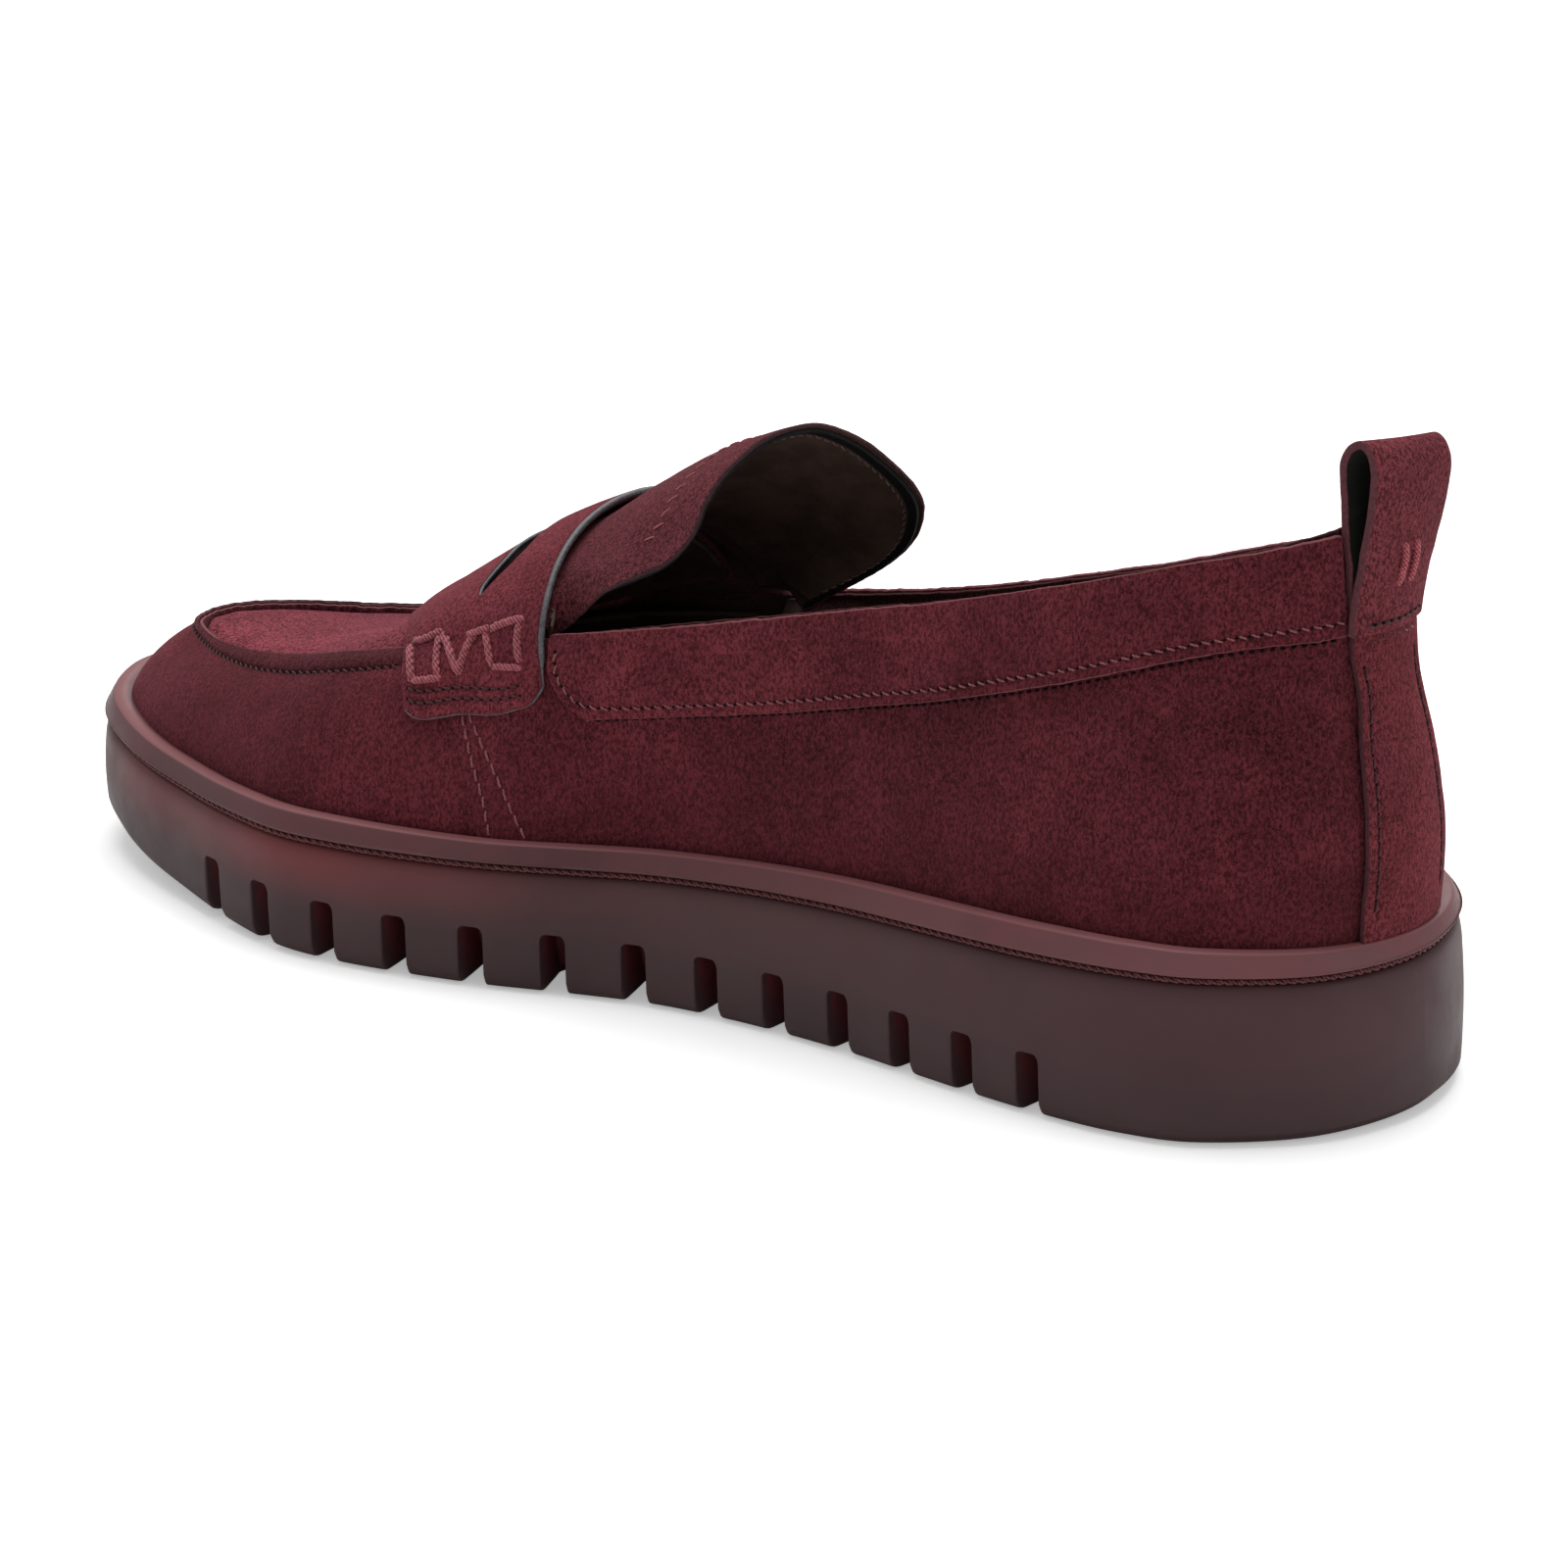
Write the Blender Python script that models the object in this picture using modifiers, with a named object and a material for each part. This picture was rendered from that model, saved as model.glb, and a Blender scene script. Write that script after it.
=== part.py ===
"""Penny loafer, right foot: lugged platform sole, moccasin toe, penny strap, heel pull tab.

Frame: metres, +Z up, ground at z = 0, toe towards -X, heel towards +X, medial side towards -Y.
The origin is on the ground under the middle of the sole.

Sizes and surface functions are in millimetres.  The parameters used throughout are
  fwd      distance forward from the back of the heel (x = HALF - fwd)
  station  place round the sole edge: 0 heel, medial side, 22 toe, lateral side, 44 heel again
  level    fraction of the wall's height: 0 at the feather line, 1 at the top edge
  across   place across the instep: -1 medial to 1 lateral
  out      offset outward from a surface
"""
import bmesh
import bpy
import numpy as np

MM = 0.001
HALF = 138.5               # from the origin back to the heel edge

# ---- sole ----
SIDE_SWELL = 1.2           # the sidewall swells this far past the edge line
GROOVE_H = 1.2             # stitched groove between outsole and rim
GROOVE_INSET = 2.0         # inner end of the groove
RIM_W = 2.7                # width of the rim beside the upper
FEATHER_INSET = 3.5        # lower edge of the upper, in from the sole edge
FEATHER_RISE = 1.6         # feather line above the groove
RECESS_INSET = 9.0         # recess in the outsole for the foam core
RECESS_DEPTH = 8.0
GAP = 0.3                  # clearance between neighbouring pieces

SLOTS = 13                 # lug slots along each side
SLOT_PITCH = 14.33
SLOT_FIRST = 51.6          # middle of the rearmost slot
SLOT_W = 4.6
SLOT_H = 11.4
SLOT_TOE_DROP = 1.2        # the foremost slots are this much lower
SLOT_DEPTH = 11.0
SLOT_TOP_SLOPE = 3.5       # the slot is this much shallower at its top
SLOT_ROUND = 1.7
SLOT_OVERRUN = 6.0         # cutter past the sidewall
SLOT_UNDERRUN = 3.0        # cutter below the sole

# ---- inside the shoe ----
BOARD_T = 1.5
COVER_T = 0.9
SHANK_T = 1.1
SHANK_ENDS = (62, 168)     # fwd
SHANK_HALF_W = 7

# ---- layers of the upper, measured outward from the face of the quarter ----
LEATHER = 1.4
OVERLAY_GAP, OVERLAY = 0.45, 1.15
OVERLAY_OUT = OVERLAY_GAP + OVERLAY
STRAP_GAP, STRAP = 0.6, 1.5
STRAP_OUT = STRAP_GAP + STRAP
STRAP_RISE = 0.75          # the strap lifts this much more over the instep, to clear the backing
STIFF_OUT, STIFF_T = -1.95, 0.7
LINING_OUT, LINING_T = -3.15, 1.0
STITCH_R = 0.22            # thread radius of the fine stitch lines

# ---- strap, tongue and pull tab ----
WING = 0.36                # share of the strap's half length that lies on each side wall
SLIT_REACH = 0.82          # the slit reaches this fraction of the way across the instep
TONGUE_AXIS = (162.0, 70.0)    # (fwd, z) of the line about which the tongue flexes
TONGUE_T = 1.6
TONGUE_END = 0.955         # the leather stops this far towards the binding's line
TAB_W, TAB_T = 19.0, 1.4
TAB_GAP = 0.45             # between the quarter's face and the inner ply
TAB_ROOT_Z, TAB_TOP_Z = 87.0, 118.2
TAB_ARC_Z = 112.0          # where the loop starts to turn over
TAB_OPEN = 5.7             # between the middles of the two plies near the top

# ---- the last, one row per station from heel back to toe ----
# (fwd, y) of the sole edge and (fwd, y, z) of the top edge of the upper
MEDIAL = [
    (0, 0, 8.6, 0, 104.0), (5.4, -20, 11.4, -11.6, 102.9), (20, -34.6, 20.5, -18.8, 100.1),
    (34, -39.2, 33.5, -23.9, 96.5), (49.3, -39.9, 49, -27, 91.6), (63.5, -39.1, 63.5, -28.2, 87.2),
    (78.1, -37.5, 78.1, -28.8, 82.8), (92.8, -35.8, 92.8, -29.2, 79),
    (106.7, -35.2, 106.7, -30, 75.3), (120.4, -35.5, 120.4, -31.1, 71.8),
    (135, -37.4, 133, -32.6, 68.7), (149.4, -41.9, 146.5, -34.4, 65.6),
    (164.1, -47.3, 160.5, -35.2, 62.2), (179.1, -51.3, 175.5, -35, 58.2),
    (193.2, -53.8, 190, -34.2, 53.9), (206, -54.2, 203.5, -33.2, 50.2),
    (221.3, -50.3, 217.5, -31.6, 46.3), (235, -45.2, 229.5, -29, 43.7),
    (248, -40, 240, -25, 41.9), (259, -34, 249, -20, 40.6), (268.5, -26.5, 256, -15.2, 40.3),
    (275, -16.5, 260.3, -10, 39.5), (277.5, -5.5, 261.2, -4, 39.3)]
LATERAL = [
    (0, 0, 8.6, 0, 104.0), (5.4, 20, 11.4, 11.2, 102.2), (18, 33.4, 20, 18.2, 97.4),
    (33, 39.4, 33.5, 24.4, 89.8), (49, 39.8, 49, 27.2, 84.1), (63.5, 39, 63.5, 28.2, 78.9),
    (78, 38.1, 78, 28.8, 74.1), (92.8, 37.5, 92.8, 29.2, 69.6), (106.7, 37.5, 106.7, 30, 65.3),
    (120.4, 38, 120.4, 31.1, 61.5), (135, 39.8, 134, 32.6, 58.2), (149.4, 42, 147, 34.2, 55.3),
    (164, 44.3, 160.5, 34.4, 53), (179, 46.4, 175, 33.4, 50.8), (193, 46.4, 189, 31.5, 48.3),
    (206, 45.2, 202.5, 29.5, 44.6), (220, 42.9, 216, 27, 41.0), (234, 39, 228.5, 23.8, 39.0),
    (246.5, 34.3, 239, 19.4, 38.2), (257.5, 27.3, 248, 14, 38.3), (266.5, 18.5, 255, 8.2, 38.7),
    (273.5, 8.3, 259.4, 2.2, 39.1), (277.5, -5.5, 261.2, -4, 39.3)]
RING = np.array(MEDIAL + LATERAL[::-1][1:-1], float)
SOLE_EDGE, TOP_EDGE = RING[:, :2], RING[:, 2:5]
N = len(RING)
TOE = N // 2
SIDES = ("medial", "lateral")

# free edge of the tongue, medial to lateral: (fwd, y, z)
TONGUE_EDGE = [
    (155.0, -31.5, 66.5), (150.8, -31.8, 70.6), (146.2, -32, 74.0), (137.7, -29, 78.6),
    (133.7, -27, 83.6), (132.6, -24.5, 88.9), (131.2, -21, 93.1), (129.6, -15, 96.7),
    (127.7, -8, 98.0), (126.0, 0, 97.2), (123.8, 8, 93.4), (121.4, 15, 87.8), (120.0, 20, 83.0),
    (121.0, 24, 78.2), (125.3, 27.5, 72.0), (132.4, 30.0, 66.5), (139.5, 31.2, 62.2),
    (146.0, 31.5, 58.8)]


# ---- curves and profiles ----
def curve_at(points, param, closed=False):
    """Catmull-Rom curve through the points, one unit of param per point."""
    points = np.asarray(points, float)
    count = len(points)
    param = np.asarray(param, float)
    first = np.floor(param).astype(int)
    if closed:
        part = param - first

        def point(j):
            return points[(first + j) % count]
    else:
        first = np.clip(first, 0, count - 2)
        part = param - first
        padded = np.vstack([2 * points[0] - points[1], points, 2 * points[-1] - points[-2]])

        def point(j):
            return padded[first + j + 1]
    before, start, end, after = point(-1), point(0), point(1), point(2)
    part = part[..., None]
    return 0.5 * (2 * start + (end - before) * part
                  + (2 * before - 5 * start + 4 * end - after) * part * part
                  + (3 * start - before - 3 * end + after) * part ** 3)


def profile(knots, values):
    """Smooth function of one variable through the given values, constant beyond its ends."""
    knots = np.asarray(knots, float)
    values = np.asarray(values, float)
    gaps = np.diff(knots)
    chords = np.diff(values) / gaps
    slopes = np.empty(len(knots))
    slopes[0], slopes[-1] = chords[0], chords[-1]
    slopes[1:-1] = (chords[:-1] * gaps[1:] + chords[1:] * gaps[:-1]) / (gaps[1:] + gaps[:-1])

    def value_at(x):
        x = np.clip(np.asarray(x, float), knots[0], knots[-1])
        i = np.clip(np.searchsorted(knots, x) - 1, 0, len(knots) - 2)
        part = (x - knots[i]) / gaps[i]
        rest = 1 - part
        return ((1 + 2 * part) * rest ** 2 * values[i] + part * rest ** 2 * gaps[i] * slopes[i]
                + part * part * (3 - 2 * part) * values[i + 1]
                + part * part * (part - 1) * gaps[i] * slopes[i + 1])
    return value_at


def unit(vector):
    return vector / (np.linalg.norm(vector, axis=-1, keepdims=True) + 1e-12)


def step(x):
    """Smooth step from 0 to 1, centred on x = 0."""
    return 1 / (1 + np.exp(-x))


def ease(x, share):
    """Map -1..1 onto itself, partly as a sine, so that equal steps crowd at the ends."""
    return np.sin(x * np.pi / 2) * share + x * (1 - share)


def spaced(start, end, count):
    return np.linspace(start, end, count + 1)


def above(height, lift):
    """The height function moved up by lift."""
    return lambda fwd: height(fwd) + lift


def floats(*values):
    return np.broadcast_arrays(*(np.asarray(value, float) for value in values))


def place(plan, z):
    """(x, y, z) of points given by (fwd, y) and height."""
    return np.stack([HALF - plan[..., 0], plan[..., 1], z], -1)


# heights as functions of fwd
z_groove = profile([0, 25, 60, 100, 150, 200, 240, 278],
                   [28.6, 29.2, 27.9, 25.8, 22.9, 22.0, 22.0, 24.0])
z_rim = profile([0, 25, 60, 100, 130, 160, 200, 240, 278],
                [34.4, 34.6, 33.3, 30.9, 28.6, 27.0, 26.8, 26.3, 28.6])
spring = profile([0, 8, 20, 30, 40, 180, 190, 220, 250, 278],
                 [1.2, 0.4, 0.1, 0, 0, 0, 0, 0.9, 3.6, 8.2])
# centre line of the instep and toe
z_ridge = profile(
    [140, 150, 157, 164, 173, 182, 191, 200, 209, 214, 220, 228, 240, 250, 261.2],
    [83.0, 82.0, 80.2, 77.5, 72.9, 66.8, 60.2, 54.3, 49.0, 46.6, 44.6, 42.8, 41.0, 40.2, 39.4])
z_feather = above(z_groove, FEATHER_RISE)


def z_bottom(fwd):
    """Underside: flat on the ground, with toe spring and a small rise at the heel."""
    return np.maximum(spring(fwd), 0.0)


# ---- stations ----
def on_side(side, station):
    """The station on the named side that matches a medial station."""
    return station if side == "medial" else N - station


def ring_stations(fine_from):
    """Stations all round, in half steps at the heel and from fine_from to the toe."""
    half = np.concatenate([np.arange(0, 3, .5), np.arange(3, fine_from, 1.0),
                           np.arange(fine_from, TOE, .5)])
    return np.concatenate([half, [TOE], N - half[::-1]])


RING_STATIONS = ring_stations(17)
PLATE_STATIONS = ring_stations(19)


def between(start, end):
    """Stations of the common grid that lie inside start..end, with both ends."""
    inner = RING_STATIONS[(RING_STATIONS > start + .12) & (RING_STATIONS < end - .12)]
    return np.concatenate([[start], inner, [end]])


def shares_between(start, end):
    """The stations between start and end, as fractions of the way."""
    return (between(start, end) - start) / (end - start)


def around_heel(reach):
    """Stations from -reach to reach."""
    return np.concatenate([between(N - reach, N)[:-1] - N, between(0, reach)])


# ---- surfaces of the last ----
def outward(station):
    """Outward horizontal normal of the sole edge, as (fwd, y)."""
    tangent = unit(curve_at(SOLE_EDGE, station + 1e-3, True)
                   - curve_at(SOLE_EDGE, station - 1e-3, True))
    return np.stack([tangent[..., 1], -tangent[..., 0]], -1)


def edge(station, inset=0.0):
    """(fwd, y) on the sole edge line, moved inward by inset."""
    station = np.asarray(station, float)
    return (curve_at(SOLE_EDGE, station, True)
            - outward(station) * np.asarray(inset, float)[..., None])


def normal_of(base, first, second, first_step, second_step):
    """Unit normal of the surface base(first, second), from central differences."""
    return unit(np.cross(base(first + first_step, second) - base(first - first_step, second),
                         base(first, second + second_step) - base(first, second - second_step)))


def normal_away(base, first, second, first_step, second_step, centre):
    """Unit normal that points away from the centre."""
    normal = normal_of(base, first, second, first_step, second_step)
    away = base(first, second) - np.array(centre)
    return normal * np.sign((normal * away).sum(-1, keepdims=True))


def wall_base(station, level):
    """Face of the quarter and vamp: each station is a cubic from feather line to top edge."""
    foot = edge(station, FEATHER_INSET)
    head = curve_at(TOP_EDGE, station, True)
    foot = place(foot, z_feather(foot[..., 0]))
    head = place(head, head[..., 2])
    height = (head - foot)[..., 2:3]
    lean = (foot - head) * np.array([1, 1, 0.0])
    sideways = outward(station) * np.array([-1, 1])
    sideways = np.concatenate([sideways, np.zeros(sideways.shape[:-1] + (1,))], -1)
    from_heel = np.asarray(station, float) % N
    from_heel = np.minimum(from_heel, N - from_heel)[..., None]
    front = step((from_heel - 13.0) / 0.9)
    toe = step((from_heel - 19.3) / 0.8)
    heel = step((2.6 - from_heel) / 0.6)
    upward = np.array([0, 0, 1.0])
    low_handle = (foot + upward * height * (0.42 + 0.10 * front - 0.18 * toe)
                  + sideways * (1.2 * heel))
    high_handle = (head + lean * (0.40 + 0.20 * front - 0.22 * toe)
                   - upward * height * (0.34 - 0.26 * front + 0.06 * toe)
                   - sideways * (3.4 * heel))
    level = level[..., None]
    rest = 1 - level
    return (rest ** 3 * foot + 3 * rest * rest * level * low_handle
            + 3 * rest * level * level * high_handle + level ** 3 * head)


def wall(station, level, out=0.0):
    """Point on the upper's side wall."""
    station, level, out = floats(station, level, out)
    inward = normal_of(wall_base, station, np.clip(level, 0.004, 0.996), .02, .003)
    return wall_base(station, level) - out[..., None] * inward


def wall_at_heel(station, level, out):
    """Side wall with stations either side of 0."""
    return wall(np.mod(station, N), level, out)


def top_base(station, across):
    """Face of the forefoot and instep, between matching medial and lateral stations."""
    medial = curve_at(TOP_EDGE, station, True)
    lateral = curve_at(TOP_EDGE, N - station, True)
    share = ((across + 1) / 2)[..., None]
    point = medial * (1 - share) + lateral * share
    middle = (medial + lateral) / 2
    crown = np.maximum(z_ridge(middle[..., 0]) - middle[..., 2], 0)
    z = (point[..., 2] + crown * np.clip(1 - across * across, 0, 1) ** 0.70
         - 1.0 * np.abs(across) ** 8 * step((station - 14.6) / 0.3))
    return place(point, z)


def top(station, across, out=0.0):
    """Point on the forefoot and instep; out is measured upward."""
    station, across, out = floats(station, across, out)
    normal = -normal_of(top_base, station, np.clip(across, -0.985, 0.985), .03, .01)
    normal = normal * np.sign(normal[..., 2:3] + 1e-9)
    return top_base(station, across) + out[..., None] * normal


# ---- outlines of the overlays ----
# lower end of the strap's wing: station and level, by share from front edge to rear edge
strap_foot_station = profile([0, .12, .5, .86, .95, 1], [13.38, 13.22, 12.6, 11.95, 11.73, 11.66])
strap_foot_level = profile([0, .12, .5, .86, .95, 1], [.585, .55, .585, .625, .67, .74])
# lower edge of the collar band: level, by station
BAND_FRONT, BAND_FRONT_LEVEL = 11.0, .592
band_low = profile([.74, 2.36, 3.96, 5.86, 8.2, 10.3, BAND_FRONT],
                   [.755, .765, .73, .685, .635, .605, BAND_FRONT_LEVEL])
# half width of the backstay in stations, by level
backstay_half = profile([0, .07, .17, .28, .35, .475, .62, .72],
                        [.62, .60, .54, .50, .50, .56, .64, .66])


def strap_front(across):
    return 15.1 - 1.1 * np.abs(across) ** 2.2


def strap_rear(across):
    return 12.3 - 0.36 * np.abs(across) ** 3


def strap_base(span, share):
    climb = np.clip((1 - np.abs(span)) / WING, 0, 1)          # 0 at the foot, 1 at the top edge
    head = strap_front(1.0) * (1 - share) + strap_rear(1.0) * share
    station = strap_foot_station(share) * (1 - climb) + head * climb
    level = strap_foot_level(share) * (1 - climb) + climb
    side = wall_base(np.where(span < 0, station, N - station), level)
    across = ease(np.clip(span / (1 - WING), -1, 1), 0.5)
    over = top_base(strap_front(across) * (1 - share) + strap_rear(across) * share, across)
    return np.where((np.abs(span) > 1 - WING)[..., None], side, over)


def strap(span, share, out=0.0):
    """Penny strap: span -1 medial foot to 1 lateral foot, share 0 front edge to 1 rear edge."""
    span, share, out = floats(span, share, out)
    normal = normal_away(strap_base, np.clip(span, -0.985, 0.985), np.clip(share, 0.03, 0.97),
                         .015, .03, centre=(HALF - 170.0, 0, 40.0))
    lift = STRAP_RISE * step((1 - WING * .8 - np.abs(span)) / .06)
    return strap_base(span, share) + (out + lift)[..., None] * normal


def tongue_base(span, reach):
    across = ease(span, 0.55)
    root = top_base(strap_rear(across) - 0.22, across * 0.93)
    free = curve_at(TONGUE_EDGE, (span + 1) / 2 * (len(TONGUE_EDGE) - 1))
    free = place(free, free[..., 2])
    share = reach[..., None]
    arch = (4 * reach * (1 - reach) * 0.6)[..., None] * np.array([0, 0, 1.0])
    return root * (1 - share) + free * share + arch


def tongue(span, reach, out=0.0):
    """Tongue: span -1 medial to 1 lateral, reach 0 at the root under the strap to 1 free."""
    span, reach, out = floats(span, reach, out)
    normal = normal_away(tongue_base, np.clip(span, -.98, .98), np.clip(reach, .03, .97),
                         .02, .03, centre=(HALF - 150.0, 0, 60.0))
    return tongue_base(span, reach) + out[..., None] * normal


# ---- scene and materials ----
for old in list(bpy.data.objects):
    bpy.data.objects.remove(old, do_unlink=True)
shoe = bpy.data.collections.new("penny_loafer")
cutters = bpy.data.collections.new("cutters")
bpy.context.scene.collection.children.link(shoe)
bpy.context.scene.collection.children.link(cutters)

# kind: (red, green, blue), roughness, metallic
PALETTE = {
    "rubber": ((0.085, 0.035, 0.035), 0.42, 0.0),
    "rim_rubber": ((0.11, 0.045, 0.045), 0.35, 0.0),
    "foam": ((0.35, 0.33, 0.30), 0.9, 0.0),
    "board": ((0.30, 0.22, 0.15), 0.85, 0.0),
    "shank": ((0.55, 0.55, 0.56), 0.35, 1.0),
    "suede": ((0.105, 0.022, 0.030), 0.95, 0.0),
    "apron_suede": ((0.17, 0.050, 0.055), 0.92, 0.0),
    "lining": ((0.018, 0.010, 0.011), 0.7, 0.0),
    "edge": ((0.050, 0.048, 0.052), 0.45, 0.0),
    "thread": ((0.24, 0.085, 0.085), 0.7, 0.0),
    "stiffener": ((0.62, 0.58, 0.50), 0.8, 0.0),
}


def material(name, kind):
    colour, roughness, metallic = PALETTE[kind]
    finish = bpy.data.materials.new(name)
    finish.use_nodes = True
    inputs = finish.node_tree.nodes["Principled BSDF"].inputs
    inputs["Base Color"].default_value = (*colour, 1)
    inputs["Roughness"].default_value = roughness
    inputs["Metallic"].default_value = metallic
    finish.diffuse_color = (*colour, 1)
    return finish


# ---- modelling helpers ----
def add(name, data, kind, collection=shoe):
    ob = bpy.data.objects.new(name, data)
    collection.objects.link(ob)
    if kind:
        data.materials.append(material(name + "_finish", kind))
    return ob


def to_mesh(bm, name):
    mesh = bpy.data.meshes.new(name)
    bm.to_mesh(mesh)
    bm.free()
    return mesh


def grid_mesh(name, surface, columns, rows):
    """A plane grid whose vertices are placed on surface(column, row)."""
    bm = bmesh.new()
    last_column, last_row = len(columns) - 1, len(rows) - 1
    verts = bmesh.ops.create_grid(bm, x_segments=last_column, y_segments=last_row,
                                  size=1.0)["verts"]
    i = np.array([round((vert.co.x + 1) / 2 * last_column) for vert in verts])
    j = np.array([round((vert.co.y + 1) / 2 * last_row) for vert in verts])
    points = surface(np.asarray(columns, float)[i], np.asarray(rows, float)[j]) * MM
    for vert, point in zip(verts, points):
        vert.co = point
    bmesh.ops.remove_doubles(bm, verts=bm.verts, dist=2e-6)
    bmesh.ops.dissolve_degenerate(bm, edges=bm.edges, dist=1e-6)
    bm.normal_update()
    return to_mesh(bm, name)


def thicken(ob, thickness):
    """Solidify against the face normals."""
    solid = ob.modifiers.new("thickness", "SOLIDIFY")
    solid.thickness = thickness * MM
    solid.offset = -1.0
    solid.use_even_offset = False


def sheet(name, surface, columns, rows, out, thickness, kind, collection=shoe):
    """Open surface at offset out, solidified inward."""
    mesh = grid_mesh(name, lambda column, row: surface(column, row, out), columns, rows)
    middle = columns[len(columns) // 2], rows[len(rows) // 2]
    spot = surface(*middle, out)
    outwards = surface(*middle, out + 1.0) - spot
    centres = np.array([face.center[:] for face in mesh.polygons])
    nearest = int(np.argmin(np.linalg.norm(centres - spot * MM, axis=1)))
    if np.dot(mesh.polygons[nearest].normal[:], outwards) < 0:
        mesh.flip_normals()
    ob = add(name, mesh, kind, collection)
    thicken(ob, thickness)
    mesh.shade_smooth()
    return ob


def inset_line(station, inset):
    return edge(station, inset(station) if callable(inset) else inset)


def band_ring(name, rows, kind, stations=RING_STATIONS):
    """Closed body swept round the sole edge. Each row is (inset, height function) or
    ("spine", height function) for the middle line where both sides meet."""
    def surface(station, row):
        points = np.empty(station.shape + (3,))
        for j, (inset, height) in enumerate(rows):
            chosen = row == j
            here = station[chosen]
            if inset == "spine":
                rim = rows[j - 1 if j else 1][0]
                line = (inset_line(here, rim) + inset_line((N - here) % N, rim)) / 2
            else:
                line = inset_line(here, inset)
            points[chosen] = place(line, height(line[:, 0]))
        return points
    mesh = grid_mesh(name, surface, stations, np.arange(len(rows)))
    bm = bmesh.new()
    bm.from_mesh(mesh)
    bmesh.ops.recalc_face_normals(bm, faces=bm.faces)
    bm.to_mesh(mesh)
    bm.free()
    mesh.shade_smooth()
    mesh.set_sharp_from_angle(angle=0.6)
    return add(name, mesh, kind)


def tube(name, points, radius, kind, closed=False, resolution=0):
    """Round cord through the points."""
    curve = bpy.data.curves.new(name, "CURVE")
    curve.dimensions = "3D"
    spline = curve.splines.new("POLY")
    spline.points.add(len(points) - 1)
    for knot, point in zip(spline.points, np.asarray(points) * MM):
        knot.co = (*point, 1)
    spline.use_cyclic_u = closed
    curve.bevel_depth = radius * MM
    curve.bevel_resolution = resolution
    curve.use_fill_caps = True
    ob = add(name, curve, kind)
    weld = ob.modifiers.new("weld", "WELD")
    weld.merge_threshold = 1e-6
    return ob


def subtract(ob, modifier_name, cutter):
    cut = ob.modifiers.new(modifier_name, "BOOLEAN")
    cut.operation = "DIFFERENCE"
    cut.object = cutter
    cutter.hide_render = True
    cutter.display_type = "WIRE"


def pivot(name, x, z):
    """Empty in the centre plane, about which the parts on it turn."""
    empty = add(name, None, None)
    empty.location = (x * MM, 0, z * MM)
    return empty


def on_pivot(ob, parent):
    """Parent the object without moving it."""
    ob.parent = parent
    ob.matrix_parent_inverse = parent.matrix_basis.inverted()


# ---- outsole and lug slots ----
outsole = band_ring("outsole", [
    ("spine", z_bottom), (2.4, z_bottom), (0.5, above(z_bottom, .4)), (-.7, above(z_bottom, 2.4)),
    (-SIDE_SWELL, lambda fwd: z_bottom(fwd) * .5 + z_groove(fwd) * .5),
    (-.5, above(z_groove, -1.2)), (0.7, above(z_groove, -GROOVE_H / 2)),
    (RECESS_INSET, above(z_groove, -GROOVE_H / 2)),
    (RECESS_INSET, above(z_groove, -RECESS_DEPTH)),
    ("spine", above(z_groove, -RECESS_DEPTH))], "rubber")


def slot_block(bm, station, high):
    """Block square to the sole edge, with its two long top edges rounded."""
    foot, normal = edge(station), outward(station)
    yaw = np.arctan2(normal[1], -normal[0])
    low = float(z_bottom(foot[0])) - SLOT_UNDERRUN
    block = bmesh.ops.create_cube(bm, size=1.0)["verts"]
    for vert in block:
        upper = vert.co.z > 0
        if vert.co.x < 0:
            x = -SLOT_DEPTH + (SLOT_TOP_SLOPE if upper else 0.0)
        else:
            x = SLOT_OVERRUN
        y = SLOT_W * (0.5 if vert.co.y > 0 else -0.5)
        z = high if upper else low
        vert.co = ((HALF - foot[0] + x * np.cos(yaw) - y * np.sin(yaw)) * MM,
                   (foot[1] + x * np.sin(yaw) + y * np.cos(yaw)) * MM, z * MM)
    top_edges = [line for line in bm.edges
                 if line.verts[0] in block and line.verts[1] in block
                 and all(abs(vert.co.z - high * MM) < 1e-7 for vert in line.verts)]
    long_edges = sorted(top_edges, key=lambda line: -line.calc_length())[:2]
    bmesh.ops.bevel(bm, geom=long_edges, offset=SLOT_ROUND * MM, segments=2, affect="EDGES",
                    profile=0.5)


def slot_cutter():
    bm = bmesh.new()
    for side in SIDES:
        stations = on_side(side, np.linspace(2, 20, 721))
        forwards = edge(stations)[:, 0]
        for i in range(SLOTS):
            station = float(np.interp(SLOT_FIRST + SLOT_PITCH * i, forwards, stations))
            slot_block(bm, station, SLOT_H - SLOT_TOE_DROP * step(i - 10.5))
    bmesh.ops.recalc_face_normals(bm, faces=bm.faces)
    return add("slot_cutter", to_mesh(bm, "slot_cutter"), None, cutters)


subtract(outsole, "lug_slots", slot_cutter())

# ---- rim and groove stitching ----
band_ring("sole_rim", [
    (0.5, above(z_groove, GROOVE_H / 2)), (-.9, above(z_groove, GROOVE_H / 2 + .8)),
    (-.9, above(z_rim, -2.0)), (0.6, above(z_rim, -.35)), (1.8, z_rim),
    (RIM_W, above(z_rim, -.5)), (RIM_W, above(z_feather, -GAP)),
    (RECESS_INSET, above(z_feather, -GAP)), (RECESS_INSET, above(z_groove, -GAP)),
    (GROOVE_INSET, above(z_groove, -GAP)), (GROOVE_INSET, above(z_groove, GROOVE_H / 2)),
    (0.5, above(z_groove, GROOVE_H / 2))], "rim_rubber")

groove_line = edge(RING_STATIONS[:-1], 0.75)
tube("sidewall_stitching", place(groove_line, z_groove(groove_line[:, 0])), 0.28, "thread",
     closed=True)


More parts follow.
